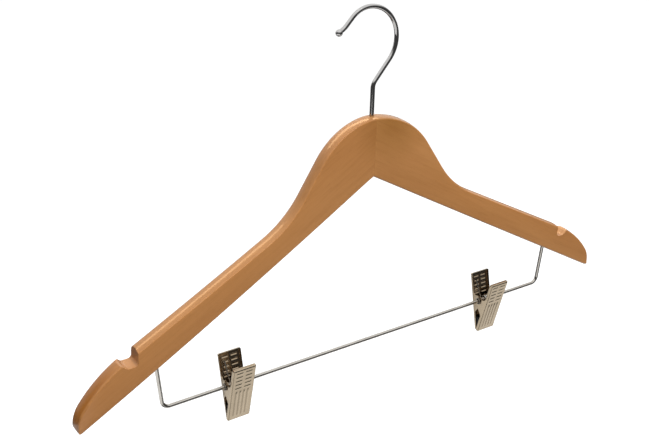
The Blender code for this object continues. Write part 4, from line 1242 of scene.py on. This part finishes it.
bm = bmesh.new()
for x, y in ((-4, -4), (12, -4), (12, 16), (-4, 16)):
    bm.verts.new((x, y, FLOOR_Z))
bm.faces.new(bm.verts)
ground = new_object("studio_floor", as_mesh("studio_floor", bm))
paint, tree, shader = start_material("floor_paint", 0.9)
shader.inputs["Base Color"].default_value = FLOOR_GREY
rays = add_node(tree, "ShaderNodeLightPath")
place = add_node(tree, "ShaderNodeTexCoord").outputs["Object"]
spot = add_node(tree, "ShaderNodeSeparateXYZ", {"Vector": place}).outputs
level = DARK_LEVEL
for *spans, bright in BRIGHT_AREAS:
    for axis, low, high, blur in (("X", *spans[:3]), ("Y", *spans[3:])):
        bright = maths(tree, "MULTIPLY", soft_step(tree, spot[axis], low - blur, low + blur), bright)
        bright = maths(tree, "MULTIPLY", soft_step(tree, spot[axis], high + blur, high - blur), bright)
    level = maths(tree, "MAXIMUM", bright, level)
mirrored = add_node(tree, "ShaderNodeEmission", {"Strength": level})
glow = add_node(tree, "ShaderNodeEmission", {"Strength": FLOOR_GLOW})
white = tree.nodes.new("ShaderNodeAddShader")
tree.links.new(shader.outputs[0], white.inputs[0])
tree.links.new(glow.outputs[0], white.inputs[1])
look = shader
shown = maths(tree, "MAXIMUM", rays.outputs["Is Camera Ray"], rays.outputs["Is Transmission Ray"])
for ray, result in ((rays.outputs["Is Glossy Ray"], mirrored), (shown, white)):
    step = add_node(tree, "ShaderNodeMixShader", {0: ray})
    tree.links.new(look.outputs[0], step.inputs[1])
    tree.links.new(result.outputs[0], step.inputs[2])
    look = step
tree.links.new(look.outputs[0], tree.nodes["Material Output"].inputs["Surface"])
ground.data.materials.append(paint)
print("floor:", len(BRIGHT_AREAS), "bright areas in reflections")

# %% [markdown]
# ## World
# The world is the rest of the room. The camera sees it white. Rough surfaces get a weak
# fill from it, brighter from the right, as in the photograph. Reflections see a bright
# ceiling, and a bright wall behind that ends at the left, so that the left nose stays golden.

# %% World
world = bpy.data.worlds.new("studio")
world.use_nodes = True
bpy.context.scene.world = world
tree = world.node_tree
backdrop = tree.nodes["Background"]
direction = add_node(tree, "ShaderNodeTexCoord").outputs["Generated"]
way = add_node(tree, "ShaderNodeSeparateXYZ", {"Vector": direction}).outputs
ceiling = soft_step(tree, way["Z"], 0.25, 0.65)
wall = soft_step(tree, way["Y"], -0.15, 0.35)
for axis, low, high in (("Z", -0.30, -0.05), ("X", -0.85, -0.45)):
    wall = maths(tree, "MULTIPLY", wall, soft_step(tree, way[axis], low, high))
room = maths(tree, "MAXIMUM", maths(tree, "MAXIMUM", ceiling, wall), DARK_LEVEL)
rays = add_node(tree, "ShaderNodeLightPath")
fill = soft_step(tree, way["X"], -0.9, 0.3, 0.20, 0.55)
glossy = add_node(tree, "ShaderNodeMix", {"Factor": rays.outputs["Is Glossy Ray"], "A": fill, "B": room})
white = maths(tree, "MAXIMUM", rays.outputs["Is Camera Ray"], rays.outputs["Is Transmission Ray"])
backdrop.inputs["Color"].default_value = (1.0, 1.0, 1.0, 1.0)
tree.links.new(maths(tree, "MAXIMUM", white, glossy.outputs[0]), backdrop.inputs["Strength"])
print("world:", len(tree.nodes), "nodes")

# %% [markdown]
# ## Lamps
# Soft area lamps above, in front, at the right and behind light the piece at a plain level.
# A lamp mirrored in polished wire draws a hard white line on it, so all but a narrow strip
# are hidden from reflections. The lacquer does show a long warm window: that lamp is linked
# to the two arms alone, and gives them no diffuse light. Painting the highlight into the
# wood would look right from one side only.

# %% Lamps
WINDOW_COLOUR = (1.0, 0.68, 0.38)
LAMPS = (   # name, place, size, watts, seen in reflections
    ("overhead", (-0.20, -0.50, 1.5), (1.5, 0.7), 18, False),
    ("strip", (-0.20, -0.50, 1.5), (1.1, 0.25), 10, True),
    ("front", (0.5, -2.0, 0.6), (0.9, 0.8), 15.5, False),
    ("side", (1.8, -0.6, 0.7), (0.6, 1.0), 6, False),
    ("back", (0.6, 2.0, 0.8), (0.9, 0.8), 16, False))


def softbox(name, place, size, power, target=(0.0, 0.0, -0.15)):
    lamp = bpy.data.lights.new(name, "AREA")
    lamp.shape = "RECTANGLE"
    lamp.size, lamp.size_y = size
    lamp.energy = power
    item = new_object(name, lamp)
    item.location = place
    item.rotation_euler = (Vector(target) - Vector(place)).to_track_quat("-Z", "Y").to_euler()
    return item


for *lamp, mirrored in LAMPS:
    softbox(*lamp).visible_glossy = mirrored
lacquered = bpy.data.collections.new("lacquered")
for arm in arms:
    lacquered.objects.link(arm)
window = softbox("window", (0.20, 1.45, 1.5), (2.6, 0.38), 27)
window.data.color = WINDOW_COLOUR
window.visible_diffuse = False
window.light_linking.receiver_collection = lacquered
bpy.context.scene.view_settings.view_transform = "Standard"
print("lamps:", ", ".join(lamp[0] for lamp in LAMPS), "and window")
